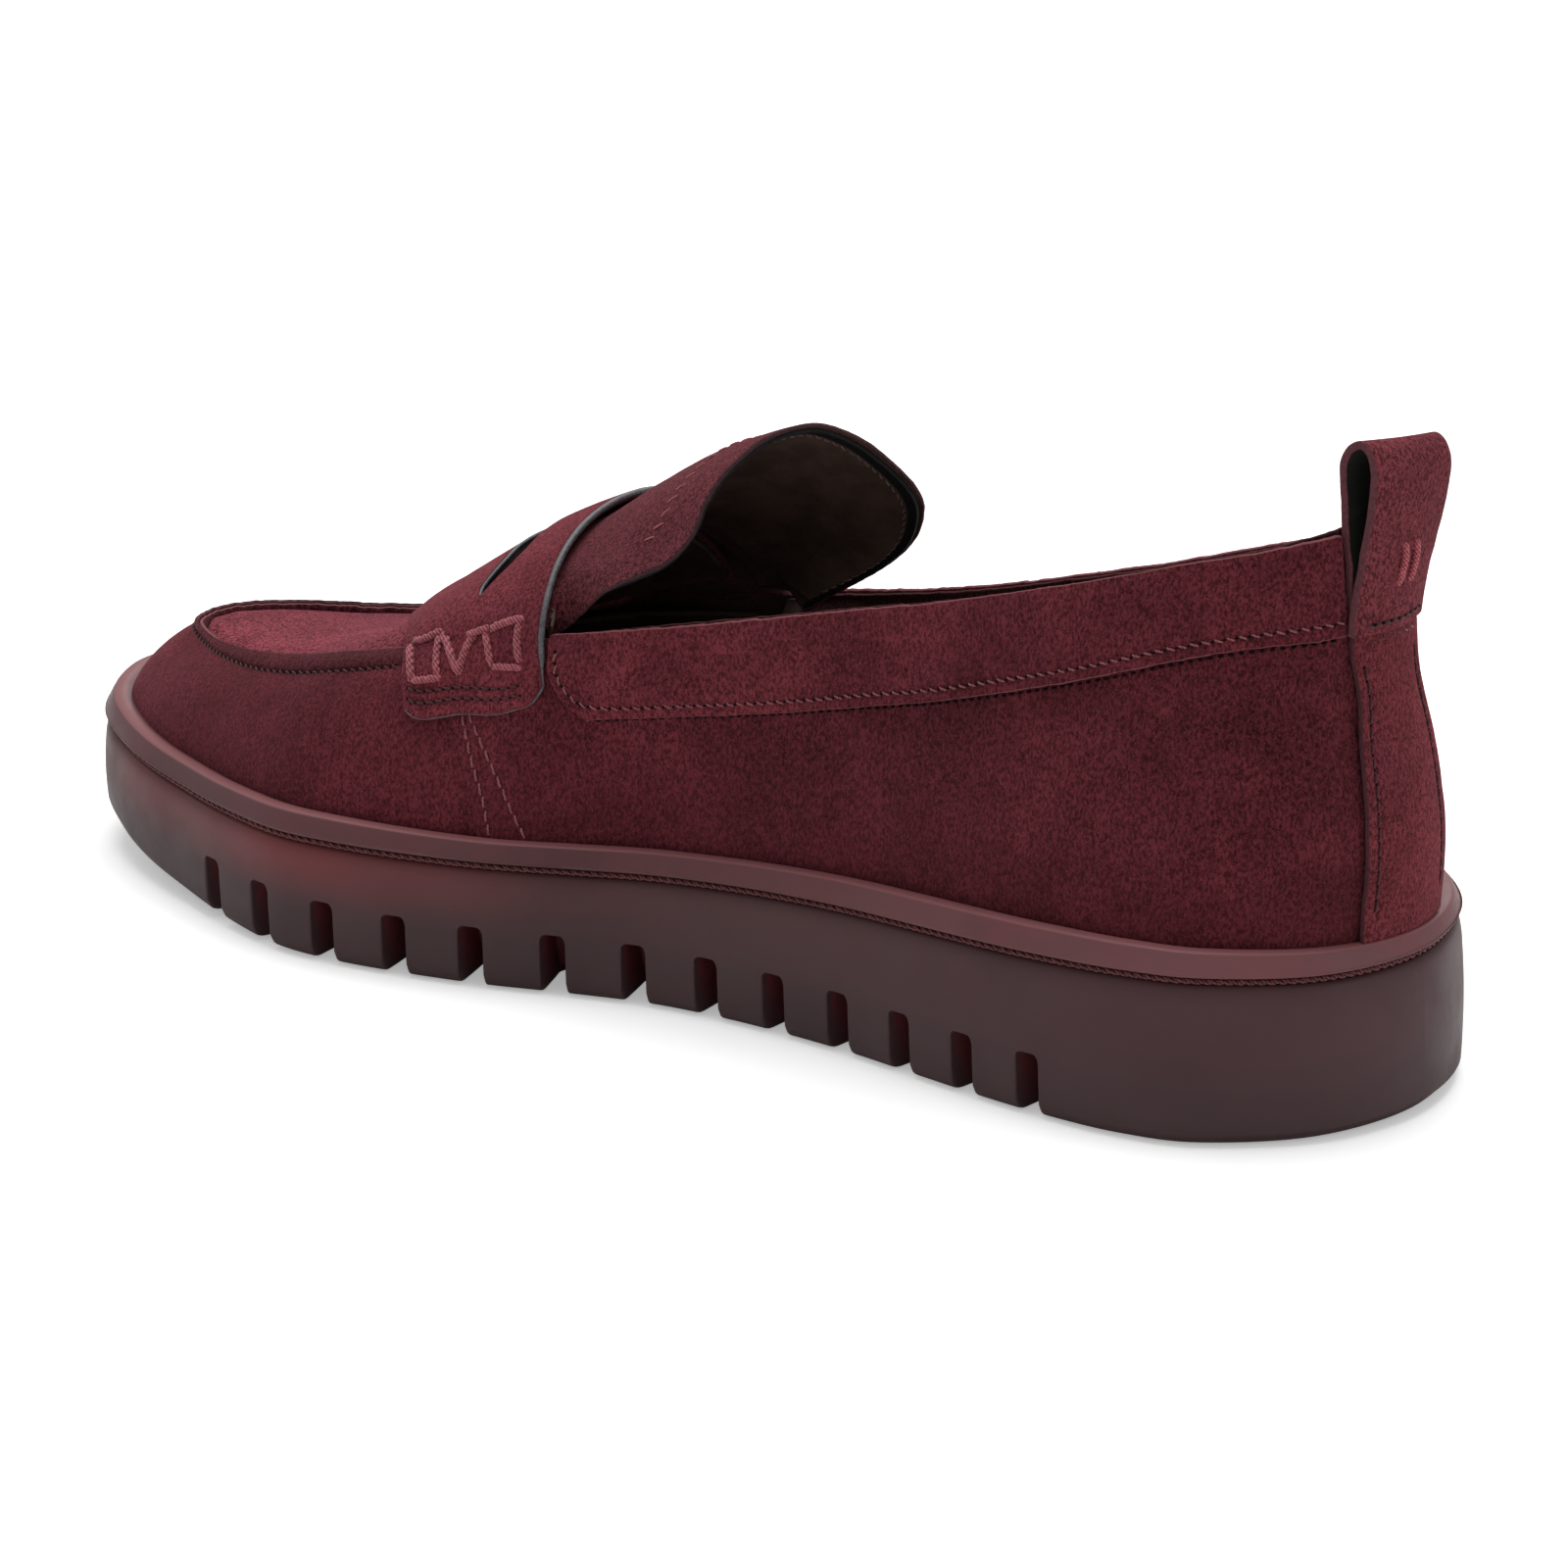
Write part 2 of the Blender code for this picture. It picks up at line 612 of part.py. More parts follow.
# ---- plates inside the shoe ----
def plate(name, inset, bottom, ceiling, kind):
    rows = [("spine", bottom), (inset, bottom), (inset, ceiling), ("spine", ceiling)]
    return band_ring(name, rows, kind, PLATE_STATIONS)


def inside_lining(height):
    """Inset of a plate whose top is this far above the feather line, clear of the linings."""
    pitch = .25
    stations = np.arange(0, N + .01, pitch)
    points = wall(stations[:, None], np.linspace(0, .6, 61)[None, :], LINING_OUT - LINING_T - .5)
    fwd = HALF - points[..., 0]
    lift = points[..., 2] - z_feather(fwd)
    line, normal = edge(stations)[:, None, :], outward(stations)[:, None, :]
    inset = ((line - np.stack([fwd, points[..., 1]], -1)) * normal).sum(-1)
    inset = np.where(lift < height + .6, inset, -1e9).max(1)
    # the widest inset of the neighbouring stations
    widest = np.array([np.interp(stations + j * pitch, stations, inset, period=N)
                       for j in (-2, -1, 0, 1, 2)]).max(0)
    return lambda station: np.interp(station, stations, widest, period=N)


footbed_thickness = profile([0, 70, 180, 278], [4.6, 4.2, 2.4, 2.0])
footbed_bottom = above(z_feather, BOARD_T + GAP)


def footbed_top(fwd):
    return footbed_bottom(fwd) + footbed_thickness(fwd)


plate("midsole", RECESS_INSET + .5, above(z_groove, GAP - RECESS_DEPTH), above(z_feather, -1.9),
      "foam")
plate("insole_board", inside_lining(BOARD_T), z_feather, above(z_feather, BOARD_T), "board")
plate("footbed", inside_lining(5.6), footbed_bottom, footbed_top, "foam")
plate("footbed_cover", inside_lining(6.8), above(footbed_top, GAP),
      above(footbed_top, GAP + COVER_T), "lining")


def build_shank():
    mesh = grid_mesh("shank", lambda fwd, y: np.stack([HALF - fwd, y, z_feather(fwd) - .4], -1),
                     spaced(*SHANK_ENDS, 8), [-SHANK_HALF_W, 0, SHANK_HALF_W])
    if mesh.polygons[0].normal.z < 0:
        mesh.flip_normals()
    thicken(add("shank", mesh, "shank"), SHANK_T)


build_shank()

# ---- outer leather: vamp, quarters, apron ----
MID_LEVELS = [.17, .34, .5, .66, .82]
WALL_LEVELS = [.02, *MID_LEVELS, .985]
SEAM_GAP = .04             # half the gap at the seams, in stations


def seam(level):
    """Station where the vamp meets the quarter on the wall."""
    return 11.80 + 1.30 * level


def ruled(first_line, last_line, side="medial"):
    """Wall patch between two lines that may slant, each a station by level."""
    def surface(share, level, out):
        first, last = first_line(level), last_line(level)
        return wall(on_side(side, first + (last - first) * share), level, out)
    return surface


vamp_end = seam(.5) + SEAM_GAP
sheet("vamp", ruled(above(seam, SEAM_GAP), lambda level: N - seam(level) - SEAM_GAP),
      shares_between(vamp_end, N - vamp_end), [.02, *MID_LEVELS, .90], 0.0, LEATHER, "suede")
for side in SIDES:
    sheet("quarter_" + side, ruled(lambda level: SEAM_GAP, above(seam, -SEAM_GAP), side),
          shares_between(SEAM_GAP, seam(.5) - SEAM_GAP), WALL_LEVELS, 0.0, LEATHER, "suede")


def tapered_top(width, drop, start, spread):
    """Forefoot surface of the given width, narrowed by drop round the start station."""
    return lambda station, across, out: top(
        station, across * (width - drop * step((station - start) / spread)), out)


APRON_STATIONS = [12.6, 13.5, 14.4, 15.3, 16.2, 17.1, 18, 18.7, 19.3, 19.8, 20.2, 20.6]
APRON_ACROSS = np.sin(spaced(-1, 1, 10) * np.pi / 2)
sheet("apron", tapered_top(width=0.92, drop=.22, start=20.2, spread=.25),
      APRON_STATIONS, APRON_ACROSS, 0.0, LEATHER, "apron_suede")
tube("apron_seam_lip", wall(between(14.15, N - 14.15), 1.0) - np.array([0, 0, 0.6]), 1.0,
     "suede", resolution=1)

# ---- penny strap ----
wing_steps = WING * np.array([0, .3, .6, .85])
instep_spans = (1 - WING) * np.sin(spaced(-1, 1, 12) * np.pi / 2) * .97
strap_spans = np.concatenate([-1 + wing_steps, instep_spans, 1 - wing_steps[::-1]])
saddle = sheet("saddle_strap", strap, strap_spans, [0, .12, .3, .5, .7, .86, .95, 1],
               STRAP_OUT, STRAP, "suede")


def saddle_piping():
    """Cord just behind the strap's rear edge, at half its thickness."""
    spans = np.linspace(-1, 1, 33)
    middle = STRAP_OUT - STRAP / 2
    rear = strap(spans, 1.0, middle)
    backward = unit(rear - strap(spans, .9, middle))
    tube("saddle_edge_piping", rear + backward * 1.05, 0.62, "edge")


saddle_piping()

# ---- collar band and backstay ----
BAND_REAR = .74            # rear end of the band at its lower edge, in stations
band_end = profile([0, .3, .7, 1], [BAND_FRONT, 11.28, 11.5, 11.64])


def band_patch(side):
    """share runs forward from the heel, rise from the band's lower edge to its upper edge."""
    def surface(share, rise, out):
        rear = BAND_REAR + .20 * rise
        station = rear + (band_end(rise) - rear) * share
        low = np.where(station < BAND_FRONT, band_low(np.minimum(station, BAND_FRONT)),
                       BAND_FRONT_LEVEL)
        return wall(on_side(side, station), low + (1.0 - low) * rise, out)
    return surface


for side in SIDES:
    sheet("collar_band_" + side, band_patch(side), shares_between(BAND_REAR, 11.3),
          [0, .3, .7, 1], OVERLAY_OUT, OVERLAY, "suede")
sheet("backstay", lambda share, level, out: wall_at_heel(backstay_half(level) * share, level, out),
      spaced(-1, 1, 4), [.07, .17, .34, .5, .66, .725], OVERLAY_OUT, OVERLAY, "suede")

# ---- stiffeners and linings ----
sheet("toe_puff", wall, between(18.0, N - 18.0), [.06, .2, .34, .5, .66, .82, .9],
      STIFF_OUT, STIFF_T, "stiffener")
sheet("heel_counter", wall_at_heel, around_heel(4.0), [.06, .17, .34, .5],
      STIFF_OUT, STIFF_T, "stiffener")

LINING_LEVELS = [.04, *MID_LEVELS, .95, .985]
sheet("vamp_lining", wall, between(12.2, N - 12.2), [.04, *MID_LEVELS, .88],
      LINING_OUT, LINING_T, "lining")
sheet("apron_lining", tapered_top(width=0.86, drop=.16, start=20.0, spread=.6),
      APRON_STATIONS[:-1], APRON_ACROSS, -2.1, LINING_T, "lining")
for side in SIDES:
    ends = sorted(on_side(side, station) for station in (2.0, 12.1))
    sheet("quarter_lining_" + side, wall, between(*ends), LINING_LEVELS,
          LINING_OUT, LINING_T, "lining")
sheet("heel_lining", wall_at_heel, around_heel(1.92), LINING_LEVELS,
      LINING_OUT, LINING_T, "lining")


# ---- tongue ----
def tongue_binding():
    """Cord along the tongue's free edge."""
    spans = np.linspace(-.985, .985, 37)
    face = tongue(spans, TONGUE_END)
    along = unit(tongue(np.minimum(spans + .02, 1), TONGUE_END)
                 - tongue(np.maximum(spans - .02, -1), TONGUE_END))
    normal = unit(tongue(spans, TONGUE_END, 1.0) - face)
    beyond = np.cross(along, normal)
    beyond *= np.sign((beyond * (face - tongue(spans, TONGUE_END - .1))).sum(-1, keepdims=True))
    return tube("tongue_edge_binding", tongue(spans, TONGUE_END, -1.3) + beyond * 1.3, 0.8, "edge")


tongue_pivot = pivot("tongue_flex_axis", HALF - TONGUE_AXIS[0], TONGUE_AXIS[1])
tongue_spans = spaced(-1, 1, 18)
on_pivot(sheet("tongue", tongue, tongue_spans, [0, .24, .48, .72, TONGUE_END],
               0.0, TONGUE_T, "suede"), tongue_pivot)
on_pivot(sheet("tongue_lining", tongue, tongue_spans * .97, [.06, .24, .48, .72, .945],
               -TONGUE_T - .45, .8, "lining"), tongue_pivot)
on_pivot(tongue_binding(), tongue_pivot)


# ---- pull tab ----
def tab_path():
    """(x, z) of the strip's middle: up the inner ply, over the loop, down the outer ply."""
    heel_line = wall(0.0, np.linspace(0, 1, 201))
    foot_z = TAB_ROOT_Z + .4
    inner = [(float(np.interp(z, heel_line[:, 2], heel_line[:, 0])) + TAB_GAP + TAB_T / 2, z)
             for z in (foot_z, 92.0, 97.5, 103.0)]
    x = inner[-1][0]
    outer = [(x + .2 + TAB_OPEN, TAB_ARC_Z), (x + TAB_OPEN - .3, 106.0),
             (x + TAB_OPEN - 1.2, 100.5), (inner[1][0] + 3.0, 94.0),
             (inner[0][0] + TAB_T + .3, foot_z)]
    inner += [(x + .2, 107.5), (x + .2, TAB_ARC_Z)]
    radius = TAB_OPEN / 2
    arc_height = TAB_TOP_Z - TAB_T / 2 - TAB_ARC_Z
    arc = [(x + .2 + radius - radius * np.cos(angle), TAB_ARC_Z + arc_height * np.sin(angle))
           for angle in np.radians([25, 55, 90, 125, 155])]
    return np.array(inner + arc + outer)


TAB_PATH = tab_path()


def tab_surface(along, across, out=0.0):
    """The strip bends round the heel at its root and is nearly flat at the top of the loop."""
    along, across = np.asarray(along, float), np.asarray(across, float)
    last = len(TAB_PATH) - 1
    point = curve_at(TAB_PATH, along * last)
    tangent = unit(curve_at(TAB_PATH, np.minimum(along * last + .05, last))
                   - curve_at(TAB_PATH, np.maximum(along * last - .05, 0)))
    point = (point + np.stack([-tangent[..., 1], tangent[..., 0]], -1)
             * np.asarray(out)[..., None])
    bend = 1.7 - 1.2 * np.clip((point[..., 1] - 100.0) / 18.0, 0, 1)
    return np.stack([point[..., 0] - bend * across * across,
                     across * TAB_W / 2 + 0 * along, point[..., 1]], -1)


tab_pivot = pivot("pull_tab_axis", (TAB_PATH[0][0] + TAB_PATH[-1][0]) / 2, TAB_ROOT_Z)
on_pivot(sheet("pull_tab", tab_surface, np.linspace(0, 1, 2 * len(TAB_PATH) - 1),
               [-1, -.5, 0, .5, 1], TAB_T / 2, TAB_T, "suede"), tab_pivot)


# ---- penny slit ----
def slit_station(across):
    return 12.72 + .44 * np.abs(across) ** 2


def slit_shape(across, side, out):
    """Slit through the strap, tapering to its ends; side is -1 rear edge to 1 front edge."""
    half = .17 * (1 - .96 * (across / SLIT_REACH) ** 2)
    station = slit_station(across) + side * half
    front = strap_front(across)
    share = (front - station) / (front - strap_rear(across))
    # strap span of the point across the instep
    samples = np.linspace(-1, 1, 401)
    span = np.interp(across, ease(samples, 0.5), samples) * (1 - WING)
    return strap(span, share, out)


subtract(saddle, "penny_slit",
         sheet("slit_cutter", slit_shape, np.linspace(-SLIT_REACH, SLIT_REACH, 17), [-1, 0, 1],
               STRAP_OUT + 1.2, STRAP + 1.9, "edge", cutters))
sheet("slot_backing",
      lambda across, side, out: top(slit_station(across) + side * .26, across, out),
      np.linspace(-.86, .86, 15), [-1, 0, 1], .8, .3, "edge")


# ---- stitching ----
def hand_stitch(side):
    """Square meander over the top corner of the strap's wing."""
    low, high = -1 + WING * .52, -1 + WING * 1.22
    points = []
    for i, share in enumerate(np.linspace(.10, .86, 7)):
        ends = (low, high) if i % 2 == 0 else (high, low)
        points += [(span, share) for span in np.linspace(*ends, 4)]
    spans, shares = np.array(points).T
    return strap(spans if side == "medial" else -spans, shares, STRAP_OUT + .95)


for side in SIDES:
    tube("hand_stitch_" + side, hand_stitch(side), 0.5, "thread")

for side in SIDES:
    stations = between(.9, BAND_FRONT)
    tube("collar_stitching_" + side,
         wall(on_side(side, stations), band_low(stations) + .045, OVERLAY_OUT + .75),
         STITCH_R, "thread")
    levels = spaced(.09, .5, 5)
    tube("side_seam_stitching_" + side, wall(on_side(side, seam(levels) + .22), levels, .75),
         STITCH_R, "thread")


def backstay_stitching():
    """Up one side of the backstay, across its top and down the other."""
    levels = np.array([.1, .17, .34, .5, .62])
    half = backstay_half(levels) - .13
    stations = np.concatenate([half, [.25, -.25], -half[::-1]])
    levels = np.concatenate([levels, [.68, .68], levels[::-1]])
    tube("backstay_stitching", wall_at_heel(stations, levels, OVERLAY_OUT + .8),
         STITCH_R, "thread")


backstay_stitching()
tube("apron_seam_thread", wall(between(13.9, N - 13.9), .84, .8), .25, "thread")
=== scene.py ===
"""Penny loafer: detailed upper, sole, stitching and pull tab, built round the CAD pieces.

Lengths are millimetres: s is the distance forward from the back of the heel, x = HALF - s,
y is across (medial side negative) and z is up, so the toe points along -x.  Stations count round
the shoe: 0 at the back of the heel, TOE at the toe by the medial side, on to STATIONS by the
lateral side.  Every surface function takes two coordinates (u, v in general) and an outward
offset, so each layer, seam and row of stitches is placed on one of them.  A line is a pair
(points, normals).
"""

import math
import bmesh
import bpy
import numpy as np
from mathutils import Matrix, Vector

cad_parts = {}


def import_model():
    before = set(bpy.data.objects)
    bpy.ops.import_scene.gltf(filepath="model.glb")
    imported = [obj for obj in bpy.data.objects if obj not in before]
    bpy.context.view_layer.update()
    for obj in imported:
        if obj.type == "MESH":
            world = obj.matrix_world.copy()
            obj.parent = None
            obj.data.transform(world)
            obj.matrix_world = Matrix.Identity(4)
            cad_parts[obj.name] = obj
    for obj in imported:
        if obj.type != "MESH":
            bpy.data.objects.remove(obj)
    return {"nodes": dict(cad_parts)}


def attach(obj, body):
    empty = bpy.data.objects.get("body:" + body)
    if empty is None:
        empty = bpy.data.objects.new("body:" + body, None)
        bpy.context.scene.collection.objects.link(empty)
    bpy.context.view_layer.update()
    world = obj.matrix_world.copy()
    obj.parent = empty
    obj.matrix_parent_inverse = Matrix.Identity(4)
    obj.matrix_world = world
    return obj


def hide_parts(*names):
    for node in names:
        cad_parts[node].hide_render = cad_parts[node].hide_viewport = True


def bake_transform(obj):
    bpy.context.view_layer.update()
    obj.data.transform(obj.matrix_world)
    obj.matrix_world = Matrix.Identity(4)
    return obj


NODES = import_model()["nodes"]
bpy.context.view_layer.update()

MM = 0.001
HALF = 138.5               # from the origin back to the heel edge
UP = np.array([0, 0, 1.0])
SIDES = ((-1, "medial"), (1, "lateral"))

# ---- sole ----
FEATHER_INSET = 3.5        # lower edge of the upper, in from the sole edge
RECESS_INSET = 9.0         # recess in the outsole for the foam core
RECESS_DEPTH = 8.0
SLOTS = 13                 # lug slots along each side
SLOT_PITCH = 14.33
SLOT_FIRST = 51.6          # s of the middle of the rearmost slot
SLOT_W = 4.6
SLOT_H = 11.4
SLOT_ROUND = 1.15          # radius of the slot's upper corners
SPINE = (34, 244)          # s of the ends of the line where the underside's two halves meet

# ---- layers of the upper, measured outward from the face of the quarter ----
LEATHER = 1.4
OVERLAY_GAP, OVERLAY = 0.45, 1.15
OVERLAY_OUT = OVERLAY_GAP + OVERLAY
STRAP_GAP, STRAP = 0.6, 1.5
STRAP_OUT = STRAP_GAP + STRAP
STRAP_RISE = 0.75          # extra lift over the instep, to clear the slit's backing
LINING_OUT, LINING_T = -3.15, 1.0
LINING_IN = LINING_OUT - LINING_T

# ---- pull tab and tongue ----
TAB_W, TAB_T = 19.0, 1.4
TAB_ROOT_Z, TAB_TOP_Z = 87.0, 118.2
TAB_BEND_Z = 112.0         # where the plies start to curve over
TAB_OPEN = 5.7             # between the middles of the two plies near the top
TONGUE_LEAVE = .15         # v at which the tongue leaves the strap

# ---- the last, per station: (s, y) of the sole edge, (s, y, z) of the upper's top edge ----
MEDIAL = [
    (0, 0, 8.6, 0, 104.0), (5.4, -20, 11.4, -11.6, 102.9), (20, -34.6, 20.5, -18.8, 100.1),
    (34, -39.2, 33.5, -23.9, 96.5), (49.3, -39.9, 49, -27, 91.6), (63.5, -39.1, 63.5, -28.2, 87.2),
    (78.1, -37.5, 78.1, -28.8, 82.8), (92.8, -35.8, 92.8, -29.2, 79),
    (106.7, -35.2, 106.7, -30, 75.3), (120.4, -35.5, 120.4, -31.1, 71.8),
    (135, -37.4, 133, -32.6, 68.7), (149.4, -41.9, 146.5, -34.4, 65.6),
    (164.1, -47.3, 160.5, -35.2, 62.2), (179.1, -51.3, 175.5, -35, 58.2),
    (193.2, -53.8, 190, -34.2, 53.9), (206, -54.2, 203.5, -33.2, 50.2),
    (221.3, -50.3, 217.5, -31.6, 46.3), (235, -45.2, 229.5, -29, 43.7),
    (248, -40, 240, -25, 41.9), (259, -34, 249, -20, 40.6), (268.5, -26.5, 256, -15.2, 40.3),
    (275, -16.5, 260.3, -10, 39.5), (277.5, -5.5, 261.2, -4, 39.3)]
LATERAL = [
    (0, 0, 8.6, 0, 104.0), (5.4, 20, 11.4, 11.2, 102.2), (18, 33.4, 20, 18.2, 97.4),
    (33, 39.4, 33.5, 24.4, 89.8), (49, 39.8, 49, 27.2, 84.1), (63.5, 39, 63.5, 28.2, 78.9),
    (78, 38.1, 78, 28.8, 74.1), (92.8, 37.5, 92.8, 29.2, 69.6), (106.7, 37.5, 106.7, 30, 65.3),
    (120.4, 38, 120.4, 31.1, 61.5), (135, 39.8, 134, 32.6, 58.2), (149.4, 42, 147, 34.2, 55.3),
    (164, 44.3, 160.5, 34.4, 53), (179, 46.4, 175, 33.4, 50.8), (193, 46.4, 189, 31.5, 48.3),
    (206, 45.2, 202.5, 29.5, 44.6), (220, 42.9, 216, 27, 41.0), (234, 39, 228.5, 23.8, 39.0),
    (246.5, 34.3, 239, 19.4, 38.2), (257.5, 27.3, 248, 14, 38.3), (266.5, 18.5, 255, 8.2, 38.7),
    (273.5, 8.3, 259.4, 2.2, 39.1), (277.5, -5.5, 261.2, -4, 39.3)]
RING = np.array(MEDIAL + LATERAL[::-1][1:-1], float)
STATIONS = len(RING)
TOE = STATIONS // 2

# free edge of the tongue, medial to lateral: (s, y, z)
FREE_EDGE = [
    (161.6, -32.6, 60.2), (158.6, -31.7, 63.0), (154.8, -31.4, 66.8), (150.8, -32.0, 70.8),
    (146.2, -32.3, 74.2), (137.7, -29.3, 79.0), (133.7, -27.2, 84.2), (132.6, -24.7, 89.7),
    (131.2, -21.2, 94.2), (129.4, -15, 98.2), (127.4, -8, 99.9), (125.8, 0, 99.2),
    (123.6, 8, 95.2), (121.2, 15, 89.3), (120.0, 20, 84.0), (121.0, 24, 78.6),
    (125.3, 27.6, 71.6), (132.4, 30.2, 65.2), (139.5, 31.0, 60.2), (146.0, 31.0, 56.0),
    (151.5, 30.4, 52.0)]


# ---- curves --------------------------------------------------------------------------------------
def curve_at(points, at, closed=False):
    """Catmull-Rom curve through the points, one unit of at per point."""
    points = np.asarray(points, float)
    at = np.asarray(at, float)
    count = len(points)
    index = np.floor(at).astype(int)
    if closed:
        before, start, end, after = (points[(index + j) % count] for j in (-1, 0, 1, 2))
    else:
        index = np.clip(index, 0, count - 2)
        padded = np.vstack([2 * points[0] - points[1], points, 2 * points[-1] - points[-2]])
        before, start, end, after = (padded[index + j] for j in (0, 1, 2, 3))
    part = (at - index)[..., None]
    return 0.5 * (2 * start + (end - before) * part
                  + (2 * before - 5 * start + 4 * end - after) * part * part
                  + (3 * start - before - 3 * end + after) * part ** 3)


def profile(knots, values):
    """Smooth function of one variable through the given values, constant beyond its ends."""
    knots = np.asarray(knots, float)
    values = np.asarray(values, float)
    gaps = np.diff(knots)
    slopes = np.diff(values) / gaps
    tangents = np.empty(len(knots))
    tangents[0], tangents[-1] = slopes[0], slopes[-1]
    tangents[1:-1] = (slopes[:-1] * gaps[1:] + slopes[1:] * gaps[:-1]) / (gaps[1:] + gaps[:-1])

    def value_at(where):
        where = np.clip(np.asarray(where, float), knots[0], knots[-1])
        i = np.clip(np.searchsorted(knots, where) - 1, 0, len(knots) - 2)
        part = (where - knots[i]) / gaps[i]
        rest = 1 - part
        return ((1 + 2 * part) * rest ** 2 * values[i] + part * rest ** 2 * gaps[i] * tangents[i]
                + part * part * (3 - 2 * part) * values[i + 1]
                + part * part * (part - 1) * gaps[i] * tangents[i + 1])
    return value_at


# heights along the shoe, as functions of s
z_groove = profile([0, 25, 60, 100, 150, 200, 240, 278],
                   [28.6, 29.2, 27.9, 25.8, 22.9, 22.0, 22.0, 24.0])
z_rim = profile([0, 25, 60, 100, 130, 160, 200, 240, 278],
                [34.4, 34.6, 33.3, 30.9, 28.6, 27.0, 26.8, 26.3, 28.6])
spring = profile([0, 8, 20, 30, 40, 180, 190, 220, 250, 278],
                 [1.2, 0.4, 0.1, 0, 0, 0, 0, 0.9, 3.6, 8.2])
z_ridge = profile(
    [140, 150, 157, 164, 173, 182, 191, 200, 209, 214, 220, 228, 240, 250, 261.2],
    [83.0, 82.0, 80.2, 77.5, 72.9, 66.8, 60.2, 54.3, 49.0, 46.6, 44.6, 42.8, 41.0, 40.2, 39.4])
footbed_thick = profile([0, 70, 180, 278], [4.6, 4.2, 2.4, 2.0])

# inset of the outsole's sidewall, by height fraction
side_inset = profile([0, .10, .22, .5, .78, .90, .955, .985, 1.0],
                     [-.62, -.80, -.98, -1.2, -1.0, -.75, -.40, .05, .6])

# outlines on the wall: stations and wall fractions
strap_foot_station = profile([0, .12, .5, .86, .95, 1], [13.38, 13.22, 12.6, 11.95, 11.73, 11.66])
strap_foot_rise = profile([0, .12, .5, .86, .95, 1], [.585, .55, .585, .625, .67, .74])
band_low = profile([.74, 2.36, 3.96, 5.86, 8.2, 10.3, 11.0],
                   [.755, .765, .73, .685, .635, .605, .592])
band_front = profile([0, .12, .3, .52, .75, 1], [10.98, 11.22, 11.42, 11.60, 11.69, 11.76])
backstay_half = profile([0, .07, .17, .28, .35, .475, .62, .72],
                        [.62, .60, .54, .50, .50, .56, .64, .66])
seam_front_row = profile([.05, .07, .195, .355, .555, .62],
                         [11.98, 12.0, 12.10, 12.31, 12.58, 12.68])
seam_rear_row = profile([.05, .065, .285, .53, .62], [11.53, 11.56, 11.94, 12.42, 12.60])
roll_low = profile([13.9, 14.64, 15.64, 16.58, 17.66, 18.9, 20.34, 22],
                   [.865, .85, .835, .84, .885, .93, .955, .955])

# middle of the strap's slit: v by distance from the centre in u
slit_mid = profile([0, .25, .33, .41, .467, .505], [.716, .724, .722, .672, .615, .585])


def z_bottom(s):
    """Underside: flat on the ground, with toe spring and a small rise at the heel."""
    return np.maximum(spring(s), 0.0)


def z_feather(s):
    return z_groove(s) + 1.6


def footbed_top(s):
    return z_feather(s) + 1.8 + footbed_thick(s)


def unit(vectors):
    return vectors / (np.linalg.norm(vectors, axis=-1, keepdims=True) + 1e-12)


def square_to(vectors, axis):
    """Unit vectors made perpendicular to axis."""
    return unit(vectors - axis * (vectors * axis).sum(-1, keepdims=True))


def step(value):
    """Smooth step from 0 to 1 round value 0."""
    return 1 / (1 + np.exp(-value))


def spread(*values):
    return np.broadcast_arrays(*(np.asarray(value, float) for value in values))


def to_xyz(flat, z):
    """Points from (s, y, ...) rows and heights."""
    return np.stack([HALF - flat[..., 0], flat[..., 1], np.broadcast_to(z, flat.shape[:-1])], -1)


# ---- surfaces of the last ------------------------------------------------------------------------
def outward(station):
    """Outward horizontal normal of the sole edge, as (s, y)."""
    ahead = unit(curve_at(RING[:, :2], station + 1e-3, True)
                 - curve_at(RING[:, :2], station - 1e-3, True))
    return np.stack([ahead[..., 1], -ahead[..., 0]], -1)


def outward_xyz(station):
    normal = outward(station)
    return np.stack([-normal[..., 0], normal[..., 1], np.zeros(normal.shape[:-1])], -1)


def edge(station, inset=0.0):
    """(s, y) on the sole edge line, moved inward by inset."""
    station = np.asarray(station, float)
    shift = outward(station) * np.asarray(inset, float)[..., None]
    return curve_at(RING[:, :2], station, True) - shift


def top_edge(station):
    return curve_at(RING[:, 2:5], station, True)


def from_heel(station):
    """Stations from the back of the heel, the same on both sides."""
    station = np.asarray(station, float) % STATIONS
    return np.minimum(station, STATIONS - station)


def on_side(station, side):
    """The station on the medial (-1) or lateral (1) side."""
    return station if side < 0 else STATIONS - np.asarray(station)


def face_normal(face, u, v, step_u, step_v):
    return unit(np.cross(face(u + step_u, v) - face(u - step_u, v),
                         face(u, v + step_v) - face(u, v - step_v)))


def line_on(surface, u, v, out, reach=1.0):
    """Line on a surface; its normals point to the same surface lying reach further out."""
    points = surface(u, v, out)
    return points, unit(surface(u, v, out + reach) - points)


